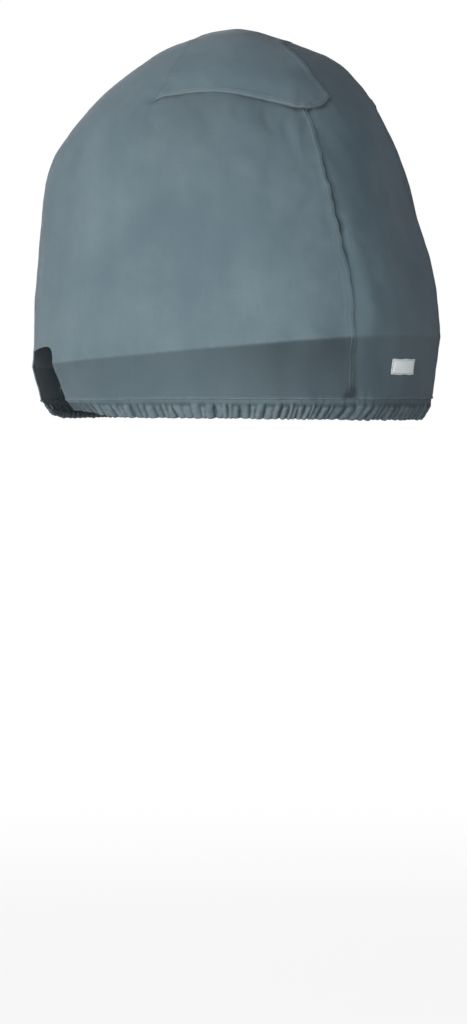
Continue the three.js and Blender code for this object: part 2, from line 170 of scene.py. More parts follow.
seamPlan = {
    "crownAft": [(26, 0.531), (31, 0.519), (36, 0.513), (40.5, 0.511)],  # turn, height above the hem
    "crownSide": [
        (40.5, 0.511), (47, 0.514), (56, 0.524), (68, 0.534),
        (82, 0.542), (92, 0.540), (98, 0.536), (102, 0.527),
    ],
    "corner": [  # height above the hem, turn
        (0.0, 36.5), (0.190, 36.5), (0.360, 37.2), (0.440, 38.0), (0.486, 38.6), (0.511, 40.5),
    ],
    "crownFront": [(-0.052, -0.178), (-0.044, -0.120), (-0.040, -0.060), (-0.038, 0.0)],  # plan
    "tongueSide": [(0.200, -0.092), (0.178, -0.085), (0.156, -0.076), (0.133, -0.063)],
    "tongueEnd": [(0.113, -0.046), (0.098, -0.026), (0.092, 0.0)],
    "frontCorner": 104,  # turn of the hood's rounded corner at the front
    "notchLevels": (12, 13, 14),
    "notchAft": (130, 126.5, 125.5),
    "notchFore": (153, 155, 156),
    "archRise": 0.0245,  # of the notch, over the crease
    "archSlope": 0.004,
    "cornerWander": ((0.21, 96, 0.4), (0.13, 205, 1.9)),  # degrees, radians per metre of height, start
}


def smoothLine(points):  # gives the point at any share of the length of a smooth line through a few points
    points = np.array(points, float)
    padded = np.vstack([points[:1], points, points[-1:]])
    steps = np.linspace(0, len(points) - 1, 600)
    i = np.minimum(steps.astype(int), len(points) - 2)
    t = (steps - i)[:, None]
    dense = throughFour(padded[i], padded[i + 1], padded[i + 2], padded[i + 3], t)
    travelled = np.append(0, np.cumsum(np.linalg.norm(np.diff(dense, axis=0), axis=1)))

    def pointAt(share):
        wanted = np.asarray(share, float) * travelled[-1]
        return np.stack([np.interp(wanted, travelled, dense[:, k]) for k in (0, 1)], -1)

    return pointAt


def planOf(turn, level):
    return pointOn(turn, level)[..., :2]


def overPort(plan):
    return plan * np.array((1, -1))


crownAftLine = smoothLine([planOf(turn, levelAt(height)) for turn, height in seamPlan["crownAft"]])
crownSideLine = smoothLine([planOf(turn, levelAt(height)) for turn, height in seamPlan["crownSide"]])
crownFrontLine = smoothLine([crownSideLine(1), *seamPlan["crownFront"]])
tongueSideLine = smoothLine([crownAftLine(0), *seamPlan["tongueSide"]])
halfEnd = [tongueSideLine(1), *np.array(seamPlan["tongueEnd"])]
tongueEndLine = smoothLine([*halfEnd, *(overPort(point) for point in halfEnd[-2::-1])])

# Each panel is laid out in squares of the cut, counted along its edges

squares = {
    "crownAft": 3, "crownSide": 11, "crownFront": 13, "tongueSide": 8, "tongueEnd": 10,
    "toNotch": 14, "pastNotch": 20, "overShoulder": 3, "toCrease": 10, "toCasing": 2,
}
sideWidth = squares["crownSide"] + squares["crownFront"]
creaseRow = squares["overShoulder"] + squares["toCrease"]
casingRow = creaseRow + squares["toCasing"]
aftWidth = 2 * squares["crownAft"] + squares["tongueEnd"]
crownWidth = 2 * squares["crownFront"]
toNotch, pastNotch = squares["toNotch"], squares["pastNotch"]
tongueRow = squares["tongueSide"]  # the aft panel's row at the tongue's foot
crownLength = squares["crownSide"] + squares["crownAft"]


def rowLevel(row):  # rows are counted from the shoulder down
    above = mixed(hood["shoulder"], hood["crease"], row / squares["toCrease"])
    below = hood["crease"] + (row - squares["toCrease"]) / squares["toCasing"]
    return np.where(row <= squares["toCrease"], above, below)


def cornerTurn(level):
    heights, turns = zip(*seamPlan["corner"])
    height = sectionAt(level)[..., at]
    wander = sum(swing * np.sin(height * rate + start) for swing, rate, start in seamPlan["cornerWander"])
    return np.interp(height, heights, turns) + wander


def acrossNotch(u):
    share = (u - toNotch) / (pastNotch - toNotch)
    return np.sin(math.pi * (np.clip(share, 0, 1) - 0.5))


def columnTurn(u, level):
    corner = cornerTurn(level)
    notchAft = np.interp(level, seamPlan["notchLevels"], seamPlan["notchAft"])
    notchFore = np.interp(level, seamPlan["notchLevels"], seamPlan["notchFore"])
    frontCorner = seamPlan["frontCorner"]
    first, second, third = squares["crownSide"], toNotch, pastNotch
    turn = mixed(corner, frontCorner, u / first)
    turn = np.where(u > first, mixed(frontCorner, notchAft, (u - first) / (second - first)), turn)
    turn = np.where(u > second, mixed(notchAft, notchFore, (1 + acrossNotch(u)) / 2), turn)
    return np.where(u > third, mixed(notchFore, 180, (u - third) / (sideWidth - third)), turn)


def sideSpot(u, v, notched=True):
    first = squares["crownSide"]
    alongSide = crownSideLine(np.minimum(u / first, 1))
    alongFront = crownFrontLine(np.maximum((u - first) / squares["crownFront"], 0))
    top = np.where((u <= first)[..., None], alongSide, alongFront)
    shoulder = np.full(u.shape, float(hood["shoulder"]))
    foot = planOf(columnTurn(u, shoulder), shoulder)
    down = np.minimum(v / squares["overShoulder"], 1)
    turn, level = spotAt(mixed(top, foot, down[..., None]))
    below = rowLevel(v - squares["overShoulder"])
    across = acrossNotch(u)
    arch = seamPlan["archRise"] - seamPlan["archSlope"] * across
    arch = arch * np.maximum(0, 1 - np.abs(across) ** 4) ** 0.25
    topLevel = hood["crease"] - 1
    drop = sectionTable[topLevel, at] - sectionTable[topLevel + 1, at]
    squeezed = topLevel + (np.minimum(below, hood["crease"]) - topLevel) * (1 - arch / drop)
    overNotch = notched & (u > toNotch) & (u < pastNotch) & (below >= topLevel)
    placed = np.where(overNotch, squeezed, below)
    lower = v >= squares["overShoulder"]
    return np.where(lower, columnTurn(u, below), turn), np.where(lower, placed, level)


def starboardSpot(u, v):
    turn, level = sideSpot(u, v, notched=False)
    return -turn, level


def between(bottom, top, left, right, s, t):  # a point of the plan between four border lines
    point = mixed(bottom(s), top(s), t[..., None])
    for side, near in ((left, 1 - s), (right, s)):
        straight = mixed(side(np.zeros_like(t)), side(np.ones_like(t)), t[..., None])
        point = point + (side(t) - straight) * (near**3)[..., None]
    return point


def crownPortEdge(t):  # from the front corner aft
    v = t * crownLength
    alongSide = crownSideLine(1 - np.minimum(v / squares["crownSide"], 1))
    alongAft = crownAftLine(1 - np.maximum((v - squares["crownSide"]) / squares["crownAft"], 0))
    return np.where((v <= squares["crownSide"])[..., None], alongSide, alongAft)


def crownForeEdge(s):
    mirror = (s > 0.5)[..., None]
    line = crownFrontLine(1 - np.abs(2 * s - 1))
    return np.where(mirror, overPort(line), line)


def crownAftEdge(s):
    u = s * crownWidth
    side, end = squares["tongueSide"], squares["tongueEnd"]
    fromEdge = np.minimum(u, crownWidth - u)
    alongSide = tongueSideLine(np.minimum(fromEdge / side, 1))
    alongSide = np.where((u > crownWidth / 2)[..., None], overPort(alongSide), alongSide)
    return np.where((fromEdge < side)[..., None], alongSide, tongueEndLine((u - side) / end))


def crownSpot(u, v):
    starboardEdge = lambda share: overPort(crownPortEdge(share))
    borders = crownForeEdge, crownAftEdge, crownPortEdge, starboardEdge
    return spotAt(between(*borders, u / crownWidth, v / crownLength))


def tongueFoot(share):
    turn, height = seamPlan["crownAft"][0]
    return planOf(mixed(turn, -turn, share), levelAt(height) + 0 * share)


def aftSpot(u, v):
    ledge = squares["crownAft"]
    s = np.clip((u - ledge) / squares["tongueEnd"], 0, 1)
    up = np.clip(1 - v / tongueRow, 0, 1)
    starboardEdge = lambda share: overPort(tongueSideLine(share))
    inTongue = spotAt(between(tongueFoot, tongueEndLine, tongueSideLine, starboardEdge, s, up))
    row = v - tongueRow - squares["overShoulder"]
    level = rowLevel(np.maximum(0, row))
    corner = cornerTurn(level)
    turn = mixed(corner, -corner, u / aftWidth)
    fromEdge = np.minimum(u, aftWidth - u)
    onLedge = crownAftLine(1 - np.minimum(fromEdge / ledge, 1))
    onLedge = np.where((u > aftWidth / 2)[..., None], overPort(onLedge), onLedge)
    top = np.where((fromEdge < ledge)[..., None], onLedge, tongueFoot(s))
    down = np.clip((v - tongueRow) / squares["overShoulder"], 0, 1)
    overShoulder = spotAt(mixed(top, planOf(turn, level), down[..., None]))
    turn = np.where(row < 0, overShoulder[0], turn)
    level = np.where(row < 0, overShoulder[1], level)
    return np.where(v < tongueRow, inTongue[0], turn), np.where(v < tongueRow, inTongue[1], level)


def seamIn3d(spot, u, v, count=240):  # a seam's line over the smooth hood
    u, v = (np.linspace(*ends, count) for ends in (u, v))
    return pointOn(*spot(u, v))


def mirroredLine(line):
    return line * np.array((1, -1, 1))


seamLines = {
    "corner": seamIn3d(sideSpot, (0, 0), (0, casingRow)),
    "crownSide": seamIn3d(sideSpot, (0, squares["crownSide"]), (0, 0)),
    "crownFront": seamIn3d(sideSpot, (squares["crownSide"], sideWidth), (0, 0)),
    "crownAft": seamIn3d(aftSpot, (0, squares["crownAft"]), (tongueRow, tongueRow), 80),
    "tongueSide": seamIn3d(aftSpot, (squares["crownAft"],) * 2, (tongueRow - 1e-6, 0)),
    "tongueEnd": seamIn3d(aftSpot, (squares["crownAft"], aftWidth - squares["crownAft"]), (0, 0)),
    "centreFront": seamIn3d(sideSpot, (sideWidth, sideWidth), (0, casingRow)),
    "casing": pointOn(np.linspace(0, 360, 721), hood["casingTop"]),
    "notch": np.vstack([
        seamIn3d(sideSpot, (toNotch, toNotch), (casingRow, creaseRow), 60),
        seamIn3d(sideSpot, (toNotch, pastNotch), (creaseRow, creaseRow), 160)[1:],
        seamIn3d(sideSpot, (pastNotch, pastNotch), (creaseRow, casingRow), 60)[1:],
    ]),
}
aftFootRow = tongueRow + casingRow
print("cover: hood shape and seams laid out")

# Folds, undulation and the way seams pull at the cloth

# turn and height at the head, turn and height at the foot, width, depth; a ridge is negative
folds = {
    "main": [
        (89, 0.430, 88, 0.335, 0.024, 0.003),
        (84, 0.529, 78, 0.454, 0.020, 0.003),
        (78, 0.454, 71, 0.390, 0.022, 0.0025),
        (68, 0.510, 62, 0.470, 0.020, -0.0025),
        (59, 0.428, 62, 0.350, 0.018, 0.003),
        (76, 0.226, 73, 0.158, 0.026, 0.0025),
        (58, 0.258, 63, 0.208, 0.022, 0.0025),
        (108, 0.160, 98, 0.150, 0.022, 0.002),
        (60, 0.112, 61, 0.055, 0.020, 0.0025),
        (34, 0.455, 25, 0.414, 0.018, 0.003),
        (31, 0.332, 27, 0.138, 0.018, -0.003),
        (12, 0.400, 8, 0.250, 0.026, 0.002),
        (120, 0.380, 131, 0.190, 0.024, 0.0025),
        (152, 0.330, 141, 0.170, 0.022, 0.0025),
        (342, 0.430, 336, 0.300, 0.022, 0.0025),
        (297, 0.470, 288, 0.390, 0.024, 0.003),
        (262, 0.440, 270, 0.330, 0.026, 0.0025),
        (279, 0.250, 285, 0.165, 0.022, 0.0025),
        (236, 0.400, 228, 0.240, 0.022, 0.0025),
        (205, 0.420, 213, 0.300, 0.022, 0.0025),
    ],
    "small": [  # pulls at corners and seams, and slack under the crown
        (101, 0.512, 94, 0.470, 0.007, 0.0012),
        (104, 0.520, 106, 0.470, 0.008, -0.0012),
        (74, 0.522, 72, 0.488, 0.008, -0.0012),
        (60, 0.505, 57, 0.470, 0.007, 0.0012),
        (50, 0.500, 52, 0.462, 0.007, 0.0012),
        (45, 0.495, 47, 0.440, 0.008, -0.0014),
        (128, 0.132, 117, 0.190, 0.008, 0.0014),
        (131, 0.150, 127, 0.215, 0.009, -0.0014),
        (150, 0.150, 154, 0.205, 0.008, 0.0014),
        (121, 0.086, 110, 0.098, 0.006, 0.0011),
        (30, 0.300, 21, 0.270, 0.008, 0.0011),
        (28, 0.235, 17, 0.220, 0.009, -0.0011),
        (45, 0.360, 51, 0.340, 0.008, 0.0012),
        (44, 0.285, 52, 0.262, 0.008, 0.0011),
        (20, 0.520, 11, 0.470, 0.010, 0.0013),
        (-20, 0.520, -9, 0.462, 0.010, 0.0013),
        (254, 0.500, 262, 0.450, 0.009, 0.0013),
        (300, 0.500, 303, 0.452, 0.009, -0.0013),
        (188, 0.430, 186, 0.290, 0.010, 0.0013),
        (171, 0.500, 169, 0.420, 0.009, 0.0012),
    ],
    "seed": 11,
    "undulation": 0.0016,  # slack that is everywhere
    "undulationLength": 0.125,
    "crumple": 0.00028,
    "crumpleLength": 0.031,
}


def nearLine(points, line):  # how far each point is from a line, and how far along it
    starts, span = line[:-1], np.diff(line, axis=0)
    length = np.maximum(np.linalg.norm(span, axis=1), 1e-9)
    travelled = np.append(0, np.cumsum(length))
    distance, along = np.empty(len(points)), np.empty(len(points))
    atOnce = 3000
    for first in range(0, len(points), atOnce):
        part = points[first:first + atOnce, None, :] - starts
        share = np.clip((part * span).sum(-1) / length**2, 0, 1)
        gap = np.linalg.norm(part - share[..., None] * span, axis=-1)
        best = gap.argmin(1)
        pick = (np.arange(len(best)), best)
        distance[first:first + atOnce] = gap[pick]
        along[first:first + atOnce] = travelled[best] + share[pick] * length[best]
    return distance, along


def waves(points, wavelength, seed, count=9):  # smooth seeded unevenness, about -1 to 1
    dice = np.random.default_rng(seed)
    total = np.zeros(len(points))
    for _ in range(count):
        direction = unit(dice.normal(size=3))
        stretch = dice.uniform(0.65, 1.7)
        total += np.sin(points @ direction * 2 * math.pi / (wavelength * stretch) + dice.uniform(0, 6.28))
    return total / math.sqrt(count)


def alongWaves(along, wavelength, seed):  # the same along a line
    return waves(np.outer(along, (1, 0.37, 0.11)), wavelength, seed, 7)


def foldLine(fold):
    headTurn, headHeight, footTurn, footHeight = fold[:4]
    share = np.linspace(0, 1, 9)
    bow = 1.5 * np.sin(share * math.pi)  # no fold is quite straight
    return pointOn(mixed(headTurn, footTurn, share) + bow, levelAt(mixed(headHeight, footHeight, share)))


foldLines = [(foldLine(fold), *fold[4:]) for fold in folds["main"] + folds["small"]]


def foldsAt(points):
    out = folds["undulation"] * waves(points, folds["undulationLength"], folds["seed"])
    out += folds["crumple"] * waves(points, folds["crumpleLength"], folds["seed"] + 1, 14)
    for line, width, depth in foldLines:
        reach = 2.5 * width  # beyond it the fold has run out
        low, high = line.min(0) - reach, line.max(0) + reach
        near = np.all((points > low) & (points < high), axis=1)
        distance, along = nearLine(points[near], line)
        total = np.linalg.norm(line[-1] - line[0])
        tapered = 0.65 + 0.35 * np.sin(math.pi * np.clip(along / total, 0, 1))
        out[near] -= depth * tapered * bell(distance, width)
    return out


seamWork = {
    "lapHeight": 0.0011,  # of the folded edge that is sewn down on top
    "lapWidth": 0.0092,
    "edgeRound": 0.0013,
    "rubWidth": 0.0011,  # of the wear and painted highlight along the folded edge
    "backRub": 0.25,  # share of it along the back of the lap
    "backRubWidth": 0.0012,
    "grooveWidth": 0.0030,
    "tuck": (0.0030, 0.0017),  # how far the cloth underneath runs on below the one on top, and how deep
    "stitchRows": (0.0021, 0.0078),  # from the folded edge
    "stitchDent": 0.00045,
    "dentWidth": 0.0009,
    "edgeStart": -0.0002,
    "hemHeight": 0.0010,
    "hemWidth": 0.0074,
    "hemStitch": 0.0058,
    "hemDrop": 0.0008,
    "hemRipple": 0.0006,
    "hemRippleLength": 0.017,
    "hemRippleReach": 0.012,
    "hemRubPlace": 0.001,
    "hemRubWidth": 0.0013,
    "pucker": 0.00055,  # short ripples that a row of stitches draws up
    "puckerLength": 0.0125,
    "puckerReach": 0.013,
    "pull": 0.0010,  # longer ones
    "pullLength": 0.046,
    "pullReach": 0.034,
    "grooveSwing": 0.38,  # share by which the groove deepens and closes along a seam
    "grooveSwingLength": 0.026,
    "fullyShadedGroove": 0.0022,  # a groove this deep gets full painted shade
    "grooveShadeReach": 0.0056,
    "proudReach": 0.022,  # how far in from its edge the cloth on top stands proud
    "reach": 0.075,  # no seam moves the cloth farther away
    # at shares of a seam's length: depth of the groove beside it, and how far the edge on top stands proud
    "corner": {"seed": 21, "lap": 1.0, "rub": 0.75, "shares": (0, 0.14, 0.26, 0.42, 0.55, 0.75, 1),
               "groove": (0.0008, 0.0018, 0.0042, 0.0040, 0.0015, 0.0007, 0.0009),
               "proud": (0.0004, 0.0008, 0.0016, 0.0012, 0.0005, 0.0002, 0.0003)},
    "crownSide": {"seed": 22, "lap": 0.8, "rub": 0.45, "shares": (0, 0.12, 0.3, 0.45, 0.62, 0.8, 1),
                  "groove": (0.0025, 0.0025, 0.0014, 0.0008, 0.0007, 0.0014, 0.0012),
                  "proud": (0.0021, 0.0021, 0.0009, 0.0003, 0.0002, 0.0005, 0.0004)},
    "crownAft": {"seed": 23, "lap": 0.8, "shares": (0, 0.5, 1), "groove": (0.0025, 0.0020, 0.0012),
                 "proud": (0.0021, 0.0018, 0.0009)},
    "crownFront": {"seed": 24, "lap": 0.2, "shares": (0, 1), "groove": (0.0003, 0.0003), "proud": (0, 0)},
    "tongueSide": {"seed": 25, "lap": 0.6, "shares": (0, 0.3, 1), "groove": (0.0012, 0.0008, 0.0007),
                   "proud": (0.0008, 0.0004, 0.0002)},
    "tongueEnd": {"seed": 26, "lap": 0.5, "shares": (0, 1), "groove": (0.0007, 0.0007), "proud": (0, 0)},
    "centreFront": {"seed": 27, "lap": 1.0, "shares": (0, 1), "groove": (0.0012, 0.0012), "proud": (0, 0)},
    "casing": {"seed": 28, "lap": 1.5, "widthShare": 0.4, "rows": 1, "shares": (0, 1),
               "groove": (0.0006, 0.0006), "proud": (0, 0)},
}


def seamPull(points, line, name, role):
    # how a seam moves the cloth beside it, how worn and highlit that is, and how much painted shade lies in
    # its groove
    distance, along = nearLine(points, line)
    settings = seamWork[name]
    seed = settings["seed"]
    share = along / max(along.max(), 1e-6)
    swing = seamWork["grooveSwing"] * alongWaves(along, seamWork["grooveSwingLength"], seed + 80)
    groove = np.interp(share, settings["shares"], settings["groove"]) * np.clip(1 + swing, 0.25, 1.8)
    ripple = seamWork["pucker"] * alongWaves(along, seamWork["puckerLength"], seed)
    ripple *= np.exp(-distance / seamWork["puckerReach"])
    longer = seamWork["pull"] * alongWaves(along, seamWork["pullLength"], seed + 40)
    ripple += longer * bell(distance, seamWork["pullReach"])
    if role == "under":
        wide = seamWork["grooveWidth"] + 1.1 * groove
        grooveShade = groove / seamWork["fullyShadedGroove"] * bell(distance, seamWork["grooveShadeReach"])
        return ripple - groove * np.exp(-((distance / wide) ** 1.4)), 0 * distance, grooveShade
    proud = np.interp(share, settings["shares"], settings["proud"])
    width = seamWork["lapWidth"] * settings.get("widthShare", 1)
    top = seamWork["lapHeight"] * settings["lap"] * (1 - smoothStep(width, 1.3 * width, distance))
    for row in seamWork["stitchRows"][:settings.get("rows", 2)]:
        top -= seamWork["stitchDent"] * bell(distance - row, seamWork["dentWidth"])
    top += proud * bell(distance, seamWork["proudReach"])
    up = smoothStep(seamWork["edgeStart"], seamWork["edgeRound"], distance)
    rub = settings["lap"] * settings.get("rub", 1)
    wornAndHighlit = rub * bell(distance - seamWork["edgeRound"], seamWork["rubWidth"])
    wornAndHighlit += seamWork["backRub"] * rub * bell(distance - width, seamWork["backRubWidth"])
    return ripple + top * up - groove * (1 - up), wornAndHighlit, 0 * distance


def hemPull(points, line):
    distance, along = nearLine(points, line)
    width = seamWork["hemWidth"]
    top = seamWork["hemHeight"] * (1 - smoothStep(width, 1.3 * width, distance))
    top -= seamWork["stitchDent"] * bell(distance - seamWork["hemStitch"], seamWork["dentWidth"])
    up = smoothStep(seamWork["edgeStart"], seamWork["edgeRound"], distance)
    ripple = seamWork["hemRipple"] * alongWaves(along, seamWork["hemRippleLength"], 61)
    ripple *= np.exp(-distance / seamWork["hemRippleReach"])
    wornAndHighlit = bell(distance - seamWork["hemRubPlace"], seamWork["hemRubWidth"])
    return ripple + top * up - seamWork["hemDrop"] * (1 - up), wornAndHighlit, 0 * distance


cornerPinch = {  # the small tuck at the corner seam's foot
    "height": 0.022,
    "halfWidth": 0.0100,
    "depth": 0.0052,
    "taper": (1.12, 0.08),  # where it starts to narrow, and the share of its width that is left
    "fade": (0.55, 1.0),  # shares of its height
    # painted shade in the tuck
    "paintedShade": 1.3,
}


def pinchAt(points):
    line = seamLines["corner"]
    above = (points[:, 2] - line[-1, 2]) / cornerPinch["height"]
    sameHeight = np.interp(points[:, 2], line[::-1, 2], line[::-1, 0])
    across = np.abs(points[:, 0] - sameHeight)
    start, narrowest = cornerPinch["taper"]
    width = cornerPinch["halfWidth"] * np.clip(start - above, narrowest, 1)
    fade = 1 - smoothStep(*cornerPinch["fade"], above)
    near = (points[:, 1] < 0) & (points[:, 0] > 0)
    return np.where(near, -cornerPinch["depth"] * fade * bell(across, width), 0)


creaseWork = {
    "radius": 0.3,  # of the hood there, roughly
    "levelHeight": 0.09,  # of one level there
    "swing": 0.0012,
    "swingLength": 0.052,
    "reach": 0.016,
    "rub": 0.35,
    "rubWidth": 0.0035,
}


def creaseAt(points, level):  # the turned-under crease is a little uneven, and its edge is rubbed
    around = np.arctan2(points[:, 1], points[:, 0]) * creaseWork["radius"]
    away = np.abs(level - hood["crease"]) * creaseWork["levelHeight"]
    uneven = creaseWork["swing"] * alongWaves(around, creaseWork["swingLength"], 71)
    return uneven * bell(away, creaseWork["reach"]), creaseWork["rub"] * bell(away, creaseWork["rubWidth"])


def dressed(turn, level, edges):
    # the outer face with its folds and seams: points, outward directions, how worn and highlit each is, and
    # the painted shade in its seam grooves
    shape = turn.shape
    smooth = pointOn(turn, level).reshape(-1, 3)
    facing = facingOn(turn, level).reshape(-1, 3)
    out = foldsAt(smooth) + pinchAt(smooth)
    creased, wornAndHighlit = creaseAt(smooth, level.ravel())
    out += creased
    grooveShade = np.zeros(len(out))
    for name, line, role in edges:
        low, high = line.min(0) - seamWork["reach"], line.max(0) + seamWork["reach"]
        near = np.all((smooth > low) & (smooth < high), axis=1)
        if not near.any():
            continue
        if role == "hem":
            moved, rubbedAndHighlit, grooveShadeHere = hemPull(smooth[near], line)
        else:
            moved, rubbedAndHighlit, grooveShadeHere = seamPull(smooth[near], line, name, role)
        out[near] += moved
        wornAndHighlit[near] += rubbedAndHighlit
        grooveShade[near] += grooveShadeHere
    points = smooth + facing * out[:, None]
    marks = {"wornAndHighlit": wornAndHighlit.reshape(shape), "grooveShade": grooveShade.reshape(shape)}
    return points.reshape(*shape, 3), facing.reshape(*shape, 3), marks


# Meshes

def graded(length, marks, perSquare, nearMark):
    # positions along an edge, in squares, that lie closer together beside the marks
    offsets = np.array(nearMark)
    positions = set(np.round(np.linspace(0, length, int(length * perSquare) + 1), 5))
    for mark in marks:
        clear = offsets[-1] + 0.5 / perSquare
        positions = {p for p in positions if abs(p - mark) > clear}
    for mark in marks:
        for offset in offsets:
            positions |= {round(mark + offset, 5), round(mark - offset, 5)}
    return np.array(sorted(p for p in positions if 0 <= p <= length))


def arcLengths(points, axis):
    steps = np.linalg.norm(np.diff(points, axis=axis), axis=-1)
    total = np.cumsum(steps, axis=axis)
    first = np.zeros_like(np.take(total, [0], axis=axis))
    return np.concatenate([first, total], axis=axis)


def addObject(name, data):
    made = bpy.data.objects.new(name, data)
    bpy.context.scene.collection.objects.link(made)
    return made


def meshObject(name, points, faces):
    mesh = bpy.data.meshes.new(name)
    mesh.from_pydata(points.tolist(), [], faces)
    mesh.polygons.foreach_set("use_smooth", np.ones(len(faces), bool))
    mesh.update()
    return addObject(name, mesh)


def gridObject(name, points, uv, marks, thickness, flip, isCloth=True):
    # a sheet of cloth over a grid of points; isCloth says which squares of the grid are cloth
    number = np.arange(points[..., 0].size).reshape(points.shape[:2])
    quads = np.stack([number[:-1, :-1], number[:-1, 1:], number[1:, 1:], number[1:, :-1]], -1)
    quads = quads[np.broadcast_to(isCloth, quads.shape[:2])]
    if flip:
        quads = quads[:, ::-1]
    used, packed = np.unique(quads, return_inverse=True)
    packed = packed.reshape(quads.shape)
    made = meshObject(name, points.reshape(-1, 3)[used], packed.tolist())
    mesh = made.data
    for key, values in marks.items():
        carried = mesh.attributes.new(key, "FLOAT", "POINT")
        carried.data.foreach_set("value", values.ravel()[used].astype(np.float32))
    cornerUv = uv.reshape(-1, 2)[quads.ravel()]
    mesh.uv_layers.new(name="ClothMetres").data.foreach_set("uv", cornerUv.astype(np.float32).ravel())
    mesh.validate()
    mesh.update()
    layer = made.modifiers.new("cloth thickness", "SOLIDIFY")
    layer.thickness = thickness
    layer.offset = -1  # inward
    return made


def tuckUnder(points, facing, line, inner):  # a line of the grid runs on under the cloth sewn on top of it
    reach, depth = seamWork["tuck"]
    points[line] += unit(points[line] - points[inner]) * reach - facing[line] * depth


band = {  # the band below the crease, darkened with painted shade where the cloth turns under
    "edge": (-0.03, 0.05),  # levels from the crease over which it begins
    "footShare": 0.6,  # share of its painted shade that is left at the casing
}


def clothPanel(name, settings, spot, edges, mirror=False):
    u, v = np.meshgrid(settings["columns"], settings["rows"])
    turn, level = spot(u, v)
    points, facing, marks = dressed(turn, level, edges)
    for line, inner in settings.get("tucked", ()):
        tuckUnder(points, facing, line, inner)
    smooth = pointOn(turn, level)
    uv = np.stack([arcLengths(smooth, 1), -arcLengths(smooth, 0)], -1)
    middles = [(side[:-1, :-1] + side[1:, 1:]) / 2 for side in (u, v)]
    isCloth = settings["isCloth"](*middles) if "isCloth" in settings else True
    # the shaded mark is painted shade: under the crease, under the crown, on the tongue, in the corner's
    # tuck and in the seam grooves
    under = level - hood["crease"]
    shaded = settings["bandPaintedShade"] * smoothStep(*band["edge"], under) * mixed(1, band["footShare"], under)
    shaded = shaded * settings["deeperShade"](u) + settings["headShade"](u, v)
    pinched = pinchAt(smooth.reshape(-1, 3)).reshape(u.shape) / cornerPinch["depth"]
    shaded -= cornerPinch["paintedShade"] * pinched
    marks = {"wornAndHighlit": marks["wornAndHighlit"], "shaded": shaded + marks["grooveShade"]}
    made = gridObject(name, points, uv, marks, settings["thickness"], settings["flip"] != mirror, isCloth)
    print("cover:", name, len(made.data.polygons), "faces")
    return made


# Stitches

thread = {
    "length": 0.0031,
    "pitch": 0.0042,
    "firstAt": 0.0005,
    "radius": 0.00036,
    "stations": (0, 0.2, 0.5, 0.8, 1),  # along one stitch
    "swell": (0.45, 0.95, 1.0, 0.95, 0.45),  # share of the radius there
    "stand": (-0.00010, 0.00022, 0.00030, 0.00022, -0.00010),  # above the cloth there
    "sides": 5,
}


def offsetSpots(spot, edge, distance, start, stop, count=500):
    # the cut's squares along an edge, moved in from it by a distance
    axis, fixed, inward = edge
    run = np.linspace(start, stop, count)
    nudge = 0.02
    step = 0.001

    def spread(moved, along):
        u, v = (fixed + moved, along) if axis == "u" else (along, fixed + moved)
        return pointOn(*spot(u + 0 * run, v + 0 * run))

    inwards = (spread(inward * nudge, run) - spread(0, run)) / nudge
    tangent = unit(spread(0, run + step) - spread(0, run - step))
    reach = np.linalg.norm(np.cross(inwards, tangent), axis=1)
    across = fixed + inward * distance / np.maximum(reach, 1e-4)
    return (across, run) if axis == "u" else (run, across)


def stitchRow(points, facing):  # vertices and faces of the stitches along one line
    travelled = np.append(0, np.cumsum(np.linalg.norm(np.diff(points, axis=0), axis=1)))
    count = int(travelled[-1] / thread["pitch"])
    starts = np.arange(count) * thread["pitch"] + thread["firstAt"]
    stations = np.array(thread["stations"])
    wanted = starts[:, None] + stations * thread["length"]
    placed = np.stack([np.interp(wanted, travelled, points[:, k]) for k in range(3)], -1)
    outward = unit(np.stack([np.interp(wanted, travelled, facing[:, k]) for k in range(3)], -1))
    axis = unit(placed[:, -1] - placed[:, 0])[:, None, :]
    side = unit(np.cross(outward, axis))
    middle = placed + outward * np.array(thread["stand"])[:, None]
    radius = thread["radius"] * np.array(thread["swell"])[:, None, None]
    angle = np.arange(thread["sides"]) * 2 * math.pi / thread["sides"]
    ring = side[:, :, None, :] * np.cos(angle)[:, None] + outward[:, :, None, :] * np.sin(angle)[:, None]
    vertices = middle[:, :, None, :] + ring * radius
    sides, rings = thread["sides"], len(stations)
    n = np.arange(count)[:, None, None] * rings * sides
    j = np.arange(rings - 1)[None, :, None] * sides
    k = np.arange(sides)[None, None, :]
    after = (k + 1) % sides
    quads = np.stack([n + j + k, n + j + sides + k, n + j + sides + after, n + j + after], -1)
    caps = [[*range(first, first + sides)] for first in range(0, count * rings * sides, rings * sides)]
    last = (rings - 1) * sides
    caps += [[*range(cap[0] + last + sides - 1, cap[0] + last - 1, -1)] for cap in list(caps)]
    return vertices.reshape(-1, 3), quads.reshape(-1, 4).tolist() + caps


def stitches(name, rows):  # one object of all the stitches on a panel
    vertices, faces = [], []
    total = 0
    for points, facing in rows:
        made, shell = stitchRow(points, facing)
        vertices.append(made)
        faces += [[total + n for n in face] for face in shell]
        total += len(made)
    made = meshObject(name, np.vstack(vertices), faces)
    made.data.materials.append(threadMaterial)
    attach(made, "root")
    print("cover:", name, len(faces), "faces")


def panelStitches(name, spot, edges, runs):  # a run is an edge, a distance from it, and a start and stop
    rows = []
    for run in runs:
        points, facing, _ = dressed(*spot(*offsetSpots(spot, *run)), edges)
        rows.append((points, facing))
    stitches(name, rows)


# Shader node groups that several finishes share

def feed(tree, value, socket):  # from another node, or with a plain value
    if isinstance(value, bpy.types.NodeSocket):
        tree.links.new(value, socket)
    else:
        socket.default_value = value


def mathNode(tree, operation, *values, clamp=False):
    node = tree.nodes.new("ShaderNodeMath")
    node.operation = operation
    node.use_clamp = clamp
    for n, value in enumerate(values):
        feed(tree, value, node.inputs[n])
    return node.outputs[0]


def times(tree, first, second, clamp=False):
    return mathNode(tree, "MULTIPLY", first, second, clamp=clamp)


